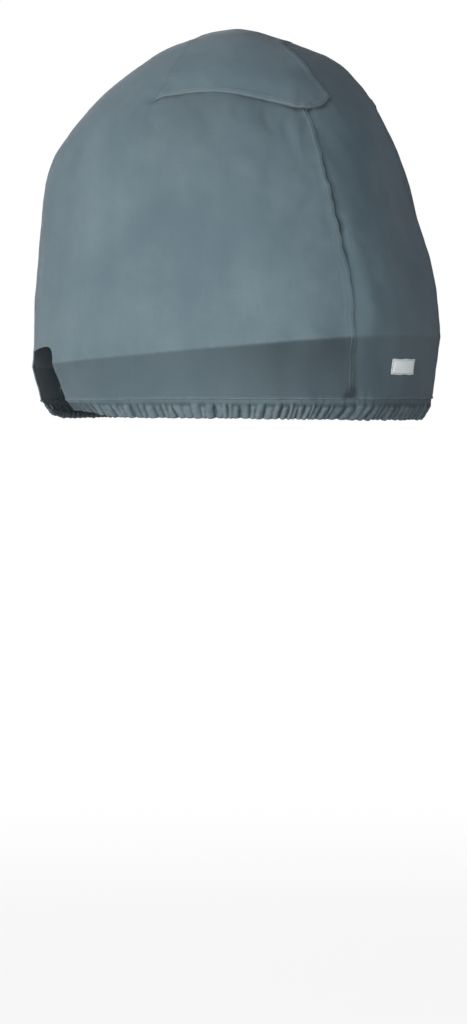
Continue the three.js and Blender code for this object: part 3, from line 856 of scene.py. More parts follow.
def newGroup(name, inputs, outputs):
    tree = bpy.data.node_groups.new(name, "ShaderNodeTree")
    for label, kind, value in inputs:
        socket = tree.interface.new_socket(label, in_out="INPUT", socket_type=kind)
        if value is not None:
            socket.default_value = value
    for label, kind in outputs:
        tree.interface.new_socket(label, in_out="OUTPUT", socket_type=kind)
    return tree, tree.nodes.new("NodeGroupInput").outputs, tree.nodes.new("NodeGroupOutput").inputs


def noiseNode(tree, vector, scale, detail=3.0, rough=0.5):
    node = tree.nodes.new("ShaderNodeTexNoise")
    tree.links.new(vector, node.inputs["Vector"])
    feed(tree, scale, node.inputs["Scale"])
    node.inputs["Detail"].default_value = detail
    node.inputs["Roughness"].default_value = rough
    return node.outputs["Fac"]


def stretched(tree, vector, factors):
    node = tree.nodes.new("ShaderNodeVectorMath")
    node.operation = "MULTIPLY"
    tree.links.new(vector, node.inputs[0])
    node.inputs[1].default_value = factors
    return node.outputs["Vector"]


def spreadOut(tree, value, low, high, toLow=0.0, toHigh=1.0):
    node = tree.nodes.new("ShaderNodeMapRange")
    node.interpolation_type = "SMOOTHSTEP"
    tree.links.new(value, node.inputs["Value"])
    for label, number in zip(("From Min", "From Max", "To Min", "To Max"), (low, high, toLow, toHigh)):
        node.inputs[label].default_value = number
    return node.outputs["Result"]


def buildWeaveGroup():
    tree, given, wanted = newGroup(
        "plainWeave",
        [("Coordinates", "NodeSocketVector", None), ("Thread Pitch", "NodeSocketFloat", 0.001),
         ("Unevenness", "NodeSocketFloat", 0.2)],
        [("Height", "NodeSocketFloat"), ("Thread Shade", "NodeSocketFloat")])
    apart = tree.nodes.new("ShaderNodeSeparateXYZ")
    tree.links.new(given["Coordinates"], apart.inputs[0])
    slub = noiseNode(tree, given["Coordinates"], 260.0, 2.0)
    shift = times(tree, mathNode(tree, "SUBTRACT", slub, 0.5), given["Unevenness"])
    threads = []
    for axis in "XY":
        turns = mathNode(tree, "DIVIDE", apart.outputs[axis], given["Thread Pitch"])
        turns = mathNode(tree, "ADD", turns, shift)
        threads.append(mathNode(tree, "SINE", times(tree, turns, math.pi)))
    warp, weft = threads
    crossing = times(tree, warp, weft)
    onTop = mathNode(tree, "MULTIPLY_ADD", crossing, 0.5, 0.5)
    warpTop = times(tree, mathNode(tree, "ABSOLUTE", warp), onTop)
    weftUnder = mathNode(tree, "SUBTRACT", 1.0, onTop)
    weftTop = times(tree, mathNode(tree, "ABSOLUTE", weft), weftUnder)
    height = mathNode(tree, "ADD", warpTop, weftTop)
    tree.links.new(height, wanted["Height"])
    long = noiseNode(tree, stretched(tree, given["Coordinates"], (900.0, 22.0, 1.0)), 1.0, 1.0)
    cross = noiseNode(tree, stretched(tree, given["Coordinates"], (22.0, 900.0, 1.0)), 1.0, 1.0)
    shade = times(tree, mathNode(tree, "ADD", long, cross), 0.5)
    tree.links.new(spreadOut(tree, shade, 0.34, 0.66), wanted["Thread Shade"])
    return tree


def buildMottleGroup():
    tree, given, wanted = newGroup(
        "weatheredMottle",
        [("Coordinates", "NodeSocketVector", None), ("Patch Scale", "NodeSocketFloat", 7.0)],
        [("Patches", "NodeSocketFloat"), ("Streaks", "NodeSocketFloat"), ("Grain", "NodeSocketFloat")])
    patches = noiseNode(tree, given["Coordinates"], given["Patch Scale"], 4.0, 0.55)
    tree.links.new(spreadOut(tree, patches, 0.3, 0.7), wanted["Patches"])
    streaks = noiseNode(tree, stretched(tree, given["Coordinates"], (26.0, 26.0, 3.5)), 1.0, 3.0)
    tree.links.new(spreadOut(tree, streaks, 0.35, 0.7), wanted["Streaks"])
    grain = noiseNode(tree, given["Coordinates"], 420.0, 3.0, 0.6)
    tree.links.new(spreadOut(tree, grain, 0.3, 0.7), wanted["Grain"])
    return tree


# wear and painted highlight along edges and ridges
def buildWearAndHighlightGroup():
    tree, given, wanted = newGroup(
        "edgeWearAndHighlight",
        [("Coordinates", "NodeSocketVector", None), ("Worn", "NodeSocketFloat", 0.0),
         ("Amount", "NodeSocketFloat", 1.0)],
        [("Mask", "NodeSocketFloat")])
    broken = noiseNode(tree, given["Coordinates"], 75.0, 4.0, 0.65)
    broken = spreadOut(tree, broken, 0.32, 0.68, 0.25, 1.0)
    mask = times(tree, given["Worn"], broken)
    tree.links.new(times(tree, mask, given["Amount"], clamp=True), wanted["Mask"])
    return tree


def buildDustGroup():
    tree, given, wanted = newGroup(
        "settledDust",
        [("Coordinates", "NodeSocketVector", None), ("Amount", "NodeSocketFloat", 0.3)],
        [("Mask", "NodeSocketFloat")])
    geometry = tree.nodes.new("ShaderNodeNewGeometry")
    apart = tree.nodes.new("ShaderNodeSeparateXYZ")
    tree.links.new(geometry.outputs["Normal"], apart.inputs[0])
    upward = spreadOut(tree, apart.outputs["Z"], 0.15, 0.95)
    drifts = spreadOut(tree, noiseNode(tree, given["Coordinates"], 16.0, 5.0, 0.6), 0.35, 0.75, 0.2, 1.0)
    mask = times(tree, upward, drifts)
    tree.links.new(times(tree, mask, given["Amount"], clamp=True), wanted["Mask"])
    return tree


weaveGroup = buildWeaveGroup()
mottleGroup = buildMottleGroup()
wearAndHighlightGroup = buildWearAndHighlightGroup()
dustGroup = buildDustGroup()


# Finishes

def newFinish(name):
    material = bpy.data.materials.new(name)
    material.use_nodes = True
    tree = material.node_tree
    return material, tree, tree.nodes["Principled BSDF"]


def useGroup(tree, group, coordinates, **values):
    node = tree.nodes.new("ShaderNodeGroup")
    node.node_tree = group
    tree.links.new(coordinates, node.inputs["Coordinates"])
    for label, value in values.items():
        feed(tree, value, node.inputs[label.replace("_", " ")])
    return node.outputs


def blended(tree, factor, first, second):
    node = tree.nodes.new("ShaderNodeMix")
    node.data_type = "RGBA"
    colours = [socket for socket in node.inputs if socket.type == "RGBA"]
    for socket, value in ((node.inputs[0], factor), *zip(colours, (first, second))):
        feed(tree, value, socket)
    return next(socket for socket in node.outputs if socket.type == "RGBA")


def inMetres(tree):
    node = tree.nodes.new("ShaderNodeTexCoord")
    return node.outputs["Object"]


def clothUv(tree):
    node = tree.nodes.new("ShaderNodeUVMap")
    node.uv_map = "ClothMetres"
    return node.outputs["UV"]


def markOf(tree, name):  # a mark that the mesh carries
    node = tree.nodes.new("ShaderNodeAttribute")
    node.attribute_name = name
    return node.outputs["Fac"]


def bumped(tree, shader, height, strength, distance):
    node = tree.nodes.new("ShaderNodeBump")
    node.inputs["Strength"].default_value = strength
    node.inputs["Distance"].default_value = distance
    tree.links.new(height, node.inputs["Height"])
    tree.links.new(node.outputs["Normal"], shader.inputs["Normal"])


def wovenCloth(tree, look):  # the groups that every woven finish has, and its uneven ground colour
    where = inMetres(tree)
    pitch, unevenness = look["threadPitch"], look["unevenness"]
    weave = useGroup(tree, weaveGroup, clothUv(tree), Thread_Pitch=pitch, Unevenness=unevenness)
    mottle = useGroup(tree, mottleGroup, where, Patch_Scale=look["patchScale"])
    wearAndHighlight = useGroup(tree, wearAndHighlightGroup, where, Worn=markOf(tree, "wornAndHighlit"), Amount=look["wearAndHighlight"])
    dust = useGroup(tree, dustGroup, where, Amount=look["dustAmount"])
    return weave, mottle, wearAndHighlight, dust, blended(tree, mottle["Patches"], look["colour"], look["faded"])


def surfaced(tree, shader, colour, dustMask, rough):  # dust lies on top of all else
    feed(tree, blended(tree, dustMask, colour, canvas["dust"]), shader.inputs["Base Color"])
    feed(tree, rough, shader.inputs["Roughness"])


canvas = {
    "colour": (0.086, 0.122, 0.142, 1),
    "faded": (0.118, 0.158, 0.176, 1),
    "deep": (0.070, 0.100, 0.119, 1),
    "paintedShadeColour": (0.041, 0.058, 0.068, 1),  # painted shade: the turned-under band, the seam grooves, the corner's tuck and the casing
    # worn edges, with painted highlight on seam laps and the gathers' ridges
    "rubbedAndHighlit": (0.190, 0.230, 0.243, 1),
    "dust": (0.188, 0.208, 0.213, 1),
    "threadPitch": 0.00105,
    "unevenness": 0.5,
    "patchScale": 6.5,
    "wearAndHighlight": 0.55,
    "dustAmount": 0.08,
    "streakShare": 0.2,  # how much of each mask shows
    "threadShare": 0.28,
    "paintedShadeShare": 0.62,
    "rubbedAndHighlitShare": 0.55,
    "rough": (0.80, 0.95),
    "sheen": 0.12,
    "sheenRough": 0.45,
    "specular": 0.32,
    "fuzz": 0.45,
    "bump": (0.55, 0.00028),  # strength and distance
}


def canvasFinish():
    material, tree, shader = newFinish("marineCanvas")
    weave, mottle, wearAndHighlight, dust, colour = wovenCloth(tree, canvas)
    # the colour laid over the shaded mark is painted shade; the one over the wear mask carries painted
    # highlight
    for mask, share, over in (
        (mottle["Streaks"], "streakShare", "deep"),
        (weave["Thread Shade"], "threadShare", "deep"),
        (markOf(tree, "shaded"), "paintedShadeShare", "paintedShadeColour"),
        (wearAndHighlight["Mask"], "rubbedAndHighlitShare", "rubbedAndHighlit"),
    ):
        colour = blended(tree, times(tree, mask, canvas[share]), colour, canvas[over])
    rough = spreadOut(tree, mottle["Grain"], 0.0, 1.0, *canvas["rough"])
    surfaced(tree, shader, colour, dust["Mask"], rough)
    shader.inputs["Sheen Weight"].default_value = canvas["sheen"]
    shader.inputs["Sheen Roughness"].default_value = canvas["sheenRough"]
    shader.inputs["Specular IOR Level"].default_value = canvas["specular"]
    fuzz = times(tree, mottle["Grain"], canvas["fuzz"])
    bumped(tree, shader, mathNode(tree, "ADD", weave["Height"], fuzz), *canvas["bump"])
    return material


sewingThread = {
    "colour": (0.125, 0.158, 0.171, 1),
    "faded": (0.171, 0.204, 0.215, 1),
    "patchScale": 40.0,
    "dustAmount": 0.2,
    "rough": (0.45, 0.7),
    "twist": (2600.0, 2600.0, 900.0),
    "bump": (0.5, 0.0001),
}


def threadFinish():
    material, tree, shader = newFinish("sewingThread")
    where = inMetres(tree)
    mottle = useGroup(tree, mottleGroup, where, Patch_Scale=sewingThread["patchScale"])
    dust = useGroup(tree, dustGroup, where, Amount=sewingThread["dustAmount"])
    colour = blended(tree, mottle["Patches"], sewingThread["colour"], sewingThread["faded"])
    rough = spreadOut(tree, mottle["Grain"], 0.0, 1.0, *sewingThread["rough"])
    surfaced(tree, shader, colour, dust["Mask"], rough)
    twist = noiseNode(tree, stretched(tree, where, sewingThread["twist"]), 1.0, 1.0)
    bumped(tree, shader, twist, *sewingThread["bump"])
    return material


wovenLabel = {
    "colour": (0.97, 0.97, 0.95, 1),
    "faded": (0.92, 0.92, 0.90, 1),
    "threads": (0.60, 0.61, 0.60, 1),
    "rubbedAndHighlit": (0.42, 0.44, 0.43, 1),
    "threadPitch": 0.0005,
    "unevenness": 0.2,
    "patchScale": 60.0,
    "wearAndHighlight": 0.8,
    "dustAmount": 0.08,
    "threadShare": 0.10,
    "rough": (0.75, 0.5),
    "sheen": 0.2,
    "bump": (0.5, 0.00012),
}


def labelFinish():
    material, tree, shader = newFinish("wovenLabel")
    weave, _, wearAndHighlight, dust, colour = wovenCloth(tree, wovenLabel)
    threads = times(tree, weave["Thread Shade"], wovenLabel["threadShare"])
    colour = blended(tree, threads, colour, wovenLabel["threads"])
    colour = blended(tree, wearAndHighlight["Mask"], colour, wovenLabel["rubbedAndHighlit"])
    rough = spreadOut(tree, weave["Height"], 0.0, 1.0, *wovenLabel["rough"])
    surfaced(tree, shader, colour, dust["Mask"], rough)
    shader.inputs["Sheen Weight"].default_value = wovenLabel["sheen"]
    bumped(tree, shader, weave["Height"], *wovenLabel["bump"])
    return material


canvasMaterial = canvasFinish()
threadMaterial = threadFinish()
labelMaterial = labelFinish()
print("cover: finishes ready")


def finished(piece, material, node):
    piece.data.materials.append(material)
    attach(piece, "root")
    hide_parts(node)


# Painted shade on the panels, and the seams beside each

paintedShade = {  # painted shade on the panels: how strong, and where, in squares of the cut
    "underCrown": 0.75,
    "underCrownFrom": (-0.5, 4.0),
    "underCrownTo": (8.0, 13.0),
    "underCrownDepth": 6.5,
    "bandAft": 0.8,
    "bandAftTo": (3.0, 9.5),
    "tongue": 0.65,
    "tongueTo": (4.5, 11.0),
    "byCorners": 1.1,
    "byCornersReach": 2.6,
}


def shadeUnderCrown(u, v):  # painted shade in the slack cloth below the crown seam
    along = smoothStep(*paintedShade["underCrownFrom"], u) * (1 - smoothStep(*paintedShade["underCrownTo"], u))
    return paintedShade["underCrown"] * along * bell(v, paintedShade["underCrownDepth"])


def deeperShadeAft(u):  # deeper painted shade on the band under the crease, toward the corner seam
    return 1 + paintedShade["bandAft"] * (1 - smoothStep(*paintedShade["bandAftTo"], u))


def shadeOnTongue(u, v):  # painted shade on the tongue, and a little way below it
    return paintedShade["tongue"] * (1 - smoothStep(*paintedShade["tongueTo"], v))


def deeperShadeByCorners(u):  # deeper painted shade on the aft panel's part of that band, by the corner seams
    return 1 + paintedShade["byCorners"] * bell(np.minimum(u, aftWidth - u), paintedShade["byCornersReach"])


def seamsBeside(roles, mirror=False):
    lines = {name: mirroredLine(seamLines[name]) if mirror else seamLines[name] for name in roles}
    return [(name, lines[name], role) for name, role in roles.items()]


def seamsOnBothSides(names, role):
    pairs = [seamsBeside({name: role}, mirror) for name in names for mirror in (False, True)]
    return sum(pairs, [])


# lines of the mesh beside a seam, in squares from it
nearSeam = (0, 0.018, 0.036, 0.058, 0.085, 0.115, 0.15, 0.19, 0.225, 0.262, 0.30, 0.36)

# Side panels

plainPanel = {
    "bandPaintedShade": 1.0,  # painted shade of the band under the crease
    "headShade": shadeUnderCrown,
    "deeperShade": deeperShadeAft,
    "thickness": 0.0016,
    "flip": False,
    "columns": graded(sideWidth, (0, toNotch, pastNotch, sideWidth), 7, nearSeam),
    "rows": graded(casingRow, (0, creaseRow, casingRow), 7.5, nearSeam),
    "tucked": [  # under the crown, and under the other side's edge
        (np.s_[0, :], np.s_[1, :]),
        (np.s_[:, -1], np.s_[:, -2]),
    ],
}
notchedPanel = {
    **plainPanel,
    "isCloth": lambda u, v: ~((u > toNotch) & (u < pastNotch) & (v > creaseRow)),
    "tucked": plainPanel["tucked"][:1],
}

besideCrown = {"corner": "over", "crownSide": "under", "crownFront": "under"}
portEdges = seamsBeside({**besideCrown, "centreFront": "over", "casing": "over", "notch": "hem"})
starboardEdges = seamsBeside(besideCrown, True) + seamsBeside({"centreFront": "under", "casing": "over"})
portPanel = clothPanel("side_panel_port_cloth", notchedPanel, sideSpot, portEdges)
starboardPanel = clothPanel("side_panel_starboard_cloth", plainPanel, starboardSpot, starboardEdges, True)
finished(portPanel, canvasMaterial, "side_panel_port")
finished(starboardPanel, canvasMaterial, "side_panel_starboard")

near, far = seamWork["stitchRows"]
hemRow = seamWork["hemStitch"]
cornerEdge, frontEdge, footEdge = ("u", 0, 1), ("u", sideWidth, -1), ("v", casingRow, -1)
portRuns = [(edge, row, 0.3, casingRow - 0.15) for edge in (cornerEdge, frontEdge) for row in (near, far)]
portRuns += [
    (footEdge, near, 0.1, toNotch - 0.25),
    (footEdge, near, pastNotch + 0.25, sideWidth - 0.1),
    (("u", toNotch, -1), hemRow, casingRow - 0.1, creaseRow),
    (("v", creaseRow, -1), hemRow, toNotch + 0.6, pastNotch - 0.6),
    (("u", pastNotch, 1), hemRow, creaseRow, casingRow - 0.1),
]
panelStitches("side_panel_port_stitches", sideSpot, portEdges, portRuns)
starboardRuns = [(cornerEdge, row, 0.3, casingRow - 0.15) for row in (near, far)]
starboardRuns += [(footEdge, near, 0.1, sideWidth - 0.1)]
panelStitches("side_panel_starboard_stitches", starboardSpot, starboardEdges, starboardRuns)

# Crown panel

crownPanel = {
    "bandPaintedShade": 0,
    "headShade": lambda u, v: 0,
    "deeperShade": lambda u: 1,
    "thickness": 0.0016,
    "flip": True,
    "columns": graded(crownWidth, (0, crownWidth), 8, [1.3 * n for n in nearSeam]),
    "rows": graded(crownLength, (0, crownLength), 9, [0.9 * n for n in nearSeam]),
}
crownEdges = seamsOnBothSides(("crownSide", "crownAft", "crownFront", "tongueSide"), "over")
crownEdges += seamsBeside({"tongueEnd": "over"})
crown = clothPanel("crown_panel_cloth", crownPanel, crownSpot, crownEdges)
finished(crown, canvasMaterial, "crown_panel")
crownRuns = []
for row in (near, far):
    crownRuns += [(edge, row, 0.3, crownLength - 0.3) for edge in (("u", 0, 1), ("u", crownWidth, -1))]
    crownRuns += [(("v", 0, 1), row, 0.3, crownWidth - 0.3)]
    crownRuns += [(("v", crownLength, -1), row, 0.4, crownWidth - 0.4)]
panelStitches("crown_panel_stitches", crownSpot, crownEdges, crownRuns)

# Aft panel

ledgeIn, ledgeOut = squares["crownAft"], aftWidth - squares["crownAft"]
aftPanel = {
    "bandPaintedShade": 0.36,
    "headShade": shadeOnTongue,
    "deeperShade": deeperShadeByCorners,
    "thickness": 0.0016,
    "flip": True,
    "columns": graded(aftWidth, (0, ledgeIn, ledgeOut, aftWidth), 7, nearSeam),
    "rows": graded(aftFootRow, (0, tongueRow, tongueRow + creaseRow, aftFootRow), 7, nearSeam),
    "isCloth": lambda u, v: (v > tongueRow) | ((u > ledgeIn) & (u < ledgeOut)),
}
ledgeRow = int(np.searchsorted(aftPanel["rows"], tongueRow))
inPort, inStarboard = (int(n) for n in np.searchsorted(aftPanel["columns"], (ledgeIn, ledgeOut)))
aftPanel["tucked"] = [
    (np.s_[0, inPort:inStarboard + 1], np.s_[1, inPort:inStarboard + 1]),
    (np.s_[:ledgeRow, inPort], np.s_[:ledgeRow, inPort + 1]),
    (np.s_[:ledgeRow, inStarboard], np.s_[:ledgeRow, inStarboard - 1]),
    (np.s_[ledgeRow, :inPort], np.s_[ledgeRow + 1, :inPort]),
    (np.s_[ledgeRow, inStarboard + 1:], np.s_[ledgeRow + 1, inStarboard + 1:]),
    (np.s_[ledgeRow:, 0], np.s_[ledgeRow:, 1]),
    (np.s_[ledgeRow:, -1], np.s_[ledgeRow:, -2]),
]
aftEdges = seamsBeside({"tongueEnd": "under", "casing": "over"})
aftEdges += seamsOnBothSides(("corner", "crownAft", "tongueSide"), "under")
aftCloth = clothPanel("aft_panel_cloth", aftPanel, aftSpot, aftEdges)
finished(aftCloth, canvasMaterial, "aft_panel")
panelStitches("aft_panel_stitches", aftSpot, aftEdges, [(("v", aftFootRow, -1), near, 0.1, aftWidth - 0.1)])

# Gathered casing

casing = {
    "thickness": 0.0012,
    "columnStep": 0.00135,
    "roll": 0.0030,  # radius of the folded lower edge
    "returnLength": 0.007,
    "topFade": 0.20,  # share of the height over which gathers grow from the seam
    "seed": 31,
    "swell": 1.1,
    "drawnIn": 0.0026,  # of the cloth between gathers
    "crumple": (0.0004, 0.009),  # depth and length
    "endHem": (0.0007, 0.006, 0.008),  # height beside the notch, and how far in it ends
    "tunnel": 0.0010,  # what is drawn through it swells the lower part
    "foldsLeft": 0.2,  # share of the hood's folds at its foot
    # painted shade over the whole casing, deeper in the hollows between gathers, and a painted highlight
    # with some rub on the gathers' ridges
    "paintedShade": 0.55,
    "hollowShade": 1.1,
    "ridgeHighlight": 1.1,
    "foldRub": (0.4, 0.04),  # strength and width, along the folded edge
    "fullness": 1.35,  # flat cloth to one run round the hem
    "gathers": [  # turn from dead aft round by port; spacing, depth and lean there
        (126, 0.0110, 0.0014, 0), (150, 0.0110, 0.0014, 0), (158, 0.0120, 0.0026, 0),
        (180, 0.0140, 0.0050, 0.001), (225, 0.0135, 0.0054, -0.001), (270, 0.0140, 0.0054, 0.001),
        (315, 0.0130, 0.0054, -0.004), (345, 0.0135, 0.0054, -0.001), (360, 0.0140, 0.0052, 0.004),
        (384, 0.0145, 0.0056, 0.008), (400, 0.0130, 0.0060, 0.009), (409, 0.0085, 0.0054, 0.005),
        (415, 0.0085, 0.0054, 0.003), (424, 0.0125, 0.0060, 0.002), (440, 0.0140, 0.0058, 0.001),
        (465, 0.0135, 0.0050, 0), (478, 0.0120, 0.0030, -0.001), (486, 0.0110, 0.0014, 0),
    ],
}


def gatherList(turnOfArc, length):
    dice = np.random.default_rng(casing["seed"])
    turns, *kinds = zip(*casing["gathers"])
    made, travelled = [], 0.002
    while travelled < length:
        pitch, depth, lean = (np.interp(turnOfArc(travelled), turns, kind) for kind in kinds)
        width = pitch * dice.uniform(0.62, 1.38)
        middle = travelled + width / 2
        made.append({
            "middle": middle,
            "half": width * dice.uniform(0.5, 0.6),
            "depth": depth * dice.uniform(0.6, 1.15),
            "lean": lean + dice.normal() * 0.0016,
            "start": dice.uniform(0, 0.14),
            "bow": dice.normal() * 0.0012,
        })
        travelled += width
    return made


def gathersAt(arc, down, gathers):  # down is the share of the casing's height below its top
    height = np.zeros(arc.shape)
    for gather in gathers:
        middle = gather["middle"] + gather["lean"] * (down - 0.4) + gather["bow"] * np.sin(down * math.pi)
        across = (arc - middle) / gather["half"]
        ridge = np.maximum(0, 1 - across**2) ** 0.8
        grown = smoothStep(gather["start"], gather["start"] + casing["topFade"], down)
        height = np.maximum(height, gather["depth"] * ridge * grown)
    return height


def gatheredCasing():
    start = seamPlan["notchFore"][-1]
    stop = seamPlan["notchAft"][-1] + 360
    turns = np.linspace(start, stop, 6000)
    run = arcLengths(pointOn(turns, hood["hem"] - 0.3), 0)
    turnOfArc = lambda arc: np.interp(arc, run, turns)
    gathers = gatherList(turnOfArc, run[-1])
    arcs = np.linspace(0, run[-1], int(run[-1] / casing["columnStep"]))
    radius = casing["roll"]
    straight = 1 - radius / sectionTable[hood["casingTop"], at]
    downs = np.append((0, 0.02, 0.045, 0.07), np.linspace(0.1, straight, 18))
    bends = np.radians((30, 60, 90, 125, 160, 180))  # round the folded edge
    arc, down = np.meshgrid(arcs, np.append(downs, np.full(len(bends) + 2, straight)))
    level = hood["casingTop"] + down
    foreSlant, aftSlant = (
        np.interp(level, seamPlan["notchLevels"], seamPlan[side]) - seamPlan[side][-1]
        for side in ("notchFore", "notchAft"))
    turn = turnOfArc(arc) + mixed(foreSlant, aftSlant, arc / run[-1])
    smooth, facing = pointOn(turn, level), facingOn(turn, level)
    flat = smooth.reshape(-1, 3)
    gathered = gathersAt(arc, down, gathers)
    atSeam, _, _ = seamPull(flat, seamLines["casing"], "casing", "under")
    crumple, crumpleLength = casing["crumple"]
    fine = crumple * waves(flat, crumpleLength, 33, 10).reshape(arc.shape) * smoothStep(0.1, 0.4, down)
    fromEnd = np.minimum(arc, run[-1] - arc)
    hem, *hemEnds = casing["endHem"]
    hemmed = hem * (1 - smoothStep(*hemEnds, fromEnd)) * smoothStep(0, 0.0012, fromEnd)
    tunnel = casing["tunnel"] * smoothStep(0.55, 0.8, down)
    drawnIn = casing["drawnIn"] * smoothStep(0, 0.3, down)
    out = gathered * casing["swell"] - drawnIn + fine + hemmed + tunnel
    out = out + (atSeam + foldsAt(flat)).reshape(arc.shape) * mixed(1, casing["foldsLeft"], down)
    points = smooth + facing * out[..., None]
    tuckUnder(points, facing, np.s_[0, :], np.s_[1, :])
    below = unit(pointOn(turn, level + 0.05) - pointOn(turn, level - 0.05))
    for n, bend in enumerate(bends):
        row = len(downs) + n
        points[row] += facing[row] * radius * (np.cos(bend) - 1) + below[row] * radius * np.sin(bend)
    for n, up in enumerate((0.5, 1.0)):
        row = len(downs) + len(bends) + n
        points[row] -= facing[row] * 2 * radius + below[row] * casing["returnLength"] * up
    foldRub, foldRubWidth = casing["foldRub"]
    # a painted highlight with some rub on the gathers' ridges, and rub along the folded edge
    wornAndHighlit = casing["ridgeHighlight"] * smoothStep(0.6, 1.15, gathered / 0.004) * smoothStep(0.05, 0.25, down)
    wornAndHighlit = wornAndHighlit + foldRub * bell(down - straight, foldRubWidth)
    uv = np.stack([arc * casing["fullness"], -arcLengths(points, 0)], -1)
    # painted shade over the casing, deeper in the hollows between gathers
    hollows = (1 - smoothStep(0.0008, 0.0040, gathered)) * smoothStep(0.04, 0.2, down)
    marks = {"wornAndHighlit": wornAndHighlit, "shaded": casing["paintedShade"] + casing["hollowShade"] * hollows}
    made = gridObject("gathered_casing_cloth", points, uv, marks, casing["thickness"], False)
    print("cover: gathered_casing_cloth", len(gathers), "gathers,", len(made.data.polygons), "faces")
    return made


casingCloth = gatheredCasing()
finished(casingCloth, canvasMaterial, "gathered_casing")

# Label

label = {
    "width": 0.068,
    "height": 0.026,
    "middle": -0.063,  # to port of the centre line
    "foot": 0.072,  # its lower edge above the hem
    "thickness": 0.0007,
    "clear": 0.0005,  # above the cloth under it
    "corner": 0.0016,
    "stitchInset": 0.0017,
    "step": 0.0010,
    "puff": 0.0009,
    "uneven": 0.0003,
    "woven": (0.0034, 0.0006),  # the border: how far in, and its width
    "ridge": 0.00025,  # height of the border, and depth of the stitched line
    "wander": (0.0004, 0.0003),  # of the long and the short edges
    "sewnWidth": 0.0007,
    "edgeRub": (0.6, 0.0008),
    "borderRub": 0.25,
}


def lowAftSpot(y, height):  # the spot of the lower aft face at a place across and a height above the hem
    turn = np.zeros_like(y)
    highest, lowest = (turn + hood[key] for key in ("crease", "casingTop"))
    for _ in range(8):
        level = halved(highest, lowest, lambda k: pointOn(turn, k)[..., 2] + hood["bearing"] - height, 24)
        turn = halved(0 * turn - 60, 0 * turn + 60, lambda t: pointOn(t, level)[..., 1] - y, 28)
    return turn, level


def labelPoints(across, up):  # from its middle, in metres
    turn, level = lowAftSpot(label["middle"] + across, label["foot"] + label["height"] / 2 + up)
    points, facing, _ = dressed(turn, level, aftEdges)
    return points, facing


def sewnLabel():
    halfWidth, halfHeight = label["width"] / 2, label["height"] / 2
    columns = np.linspace(-1, 1, int(label["width"] / label["step"]) + 1)
    rows = np.linspace(1, -1, int(label["height"] / label["step"]) + 1)
    s, t = np.meshgrid(columns, rows)
    corner = label["corner"]
    inX = np.maximum(np.abs(s) * halfWidth - (halfWidth - corner), 0)
    inY = np.maximum(np.abs(t) * halfHeight - (halfHeight - corner), 0)
    over = np.maximum(np.hypot(inX, inY) / corner, 1)
    x = np.sign(s) * (np.abs(s) * halfWidth - inX + inX / over)
    y = np.sign(t) * (np.abs(t) * halfHeight - inY + inY / over)
    alongWander, acrossWander = label["wander"]
    y = y + alongWander * np.sin(x * 190 + 1) * (np.abs(t) ** 4)
    x = x + acrossWander * np.sin(y * 330) * (np.abs(s) ** 6)
    points, facing = labelPoints(x, y)
    fromEdge = np.minimum(halfWidth - np.abs(x), halfHeight - np.abs(y))
    puff = label["puff"] * smoothStep(0.0018, 0.008, fromEdge)
    puff = puff + label["uneven"] * np.sin(x * 130 + 2) * np.sin(y * 210)
    inset, borderWidth = label["woven"]
    border = bell(fromEdge - inset, borderWidth)
    sewn = bell(fromEdge - label["stitchInset"], label["sewnWidth"])
    out = label["clear"] + label["thickness"] + puff * smoothStep(0, 0.004, fromEdge)
    out = out + label["ridge"] * (border - sewn)
    points = points + facing * out[..., None]
    rub, rubWidth = label["edgeRub"]
    marks = {"wornAndHighlit": rub * bell(fromEdge, rubWidth) + label["borderRub"] * border}
    return gridObject("sewn_label", points, np.stack([x, y], -1), marks, label["thickness"], True)


def labelStitches():
    halfWidth = label["width"] / 2 - label["stitchInset"]
    halfHeight = label["height"] / 2 - label["stitchInset"]
    corners = [(-1, 1), (1, 1), (1, -1), (-1, -1), (-1, 1)]
    share = np.linspace(0.01, 0.99, 60)
    rows = []
    for (x0, y0), (x1, y1) in zip(corners, corners[1:]):
        points, facing = labelPoints(mixed(x0, x1, share) * halfWidth, mixed(y0, y1, share) * halfHeight)
        rows.append((points + facing * (label["clear"] + label["thickness"] + 0.0001), facing))
    stitches("label_stitches", rows)


labelPiece = sewnLabel()
finished(labelPiece, labelMaterial, "label")
labelStitches()
print("cover: label sewn on")

# Camera, floor and light

view = {
    "azimuth": math.radians(25),
    "distance": 7.0,
    "eye": -0.594,  # its height in the frame, 63 mm above the hem
    "aside": -0.006,
    "down": math.radians(1.845),
    "lens": 143.9,
}


def setCamera():
    made = addObject("camera", bpy.data.cameras.new("camera"))
    ahead = Vector((-math.sin(view["azimuth"]), math.cos(view["azimuth"]), 0))
    right = Vector((math.cos(view["azimuth"]), math.sin(view["azimuth"]), 0))
    made.location = -ahead * view["distance"] + right * view["aside"] + Vector((0, 0, view["eye"]))
    made.rotation_euler = (math.pi / 2 - view["down"], 0, view["azimuth"])
    made.data.sensor_width = 36
    made.data.lens = view["lens"]
    made.data.clip_end = 100
    bpy.context.scene.camera = made


studio = {
    "floorBelow": 1.64,
    "floorRadius": 14.0,
    "floorColour": (0.37, 0.37, 0.36, 1),  # what it throws back; the camera sees it paler
    "floorGlow": 0.88,  # in the middle; the rest is white
    "floorPale": (0.6, 3.5),
    "skyAbove": 0.29,
    "skyBelow": 0.155,
    "skyColour": (0.84, 0.95, 1.08, 1),
    "aim": (0, 0, -0.33),
    "lamps": {  # place, size, power, colour
        "keyFromPort": ((-2.0, -3.9, 0.0), 1.7, 170, (1.0, 0.99, 0.97)),
        "topFill": ((-0.9, -0.9, 3.2), 2.4, 7, (1, 1, 1)),
        "sternFill": ((1.6, -3.8, -0.4), 1.8, 100, (0.95, 0.99, 1.0)),
        "starboardFill": ((-2.4, 3.7, 0.5), 2.6, 132, (1, 1, 1)),
    },
}


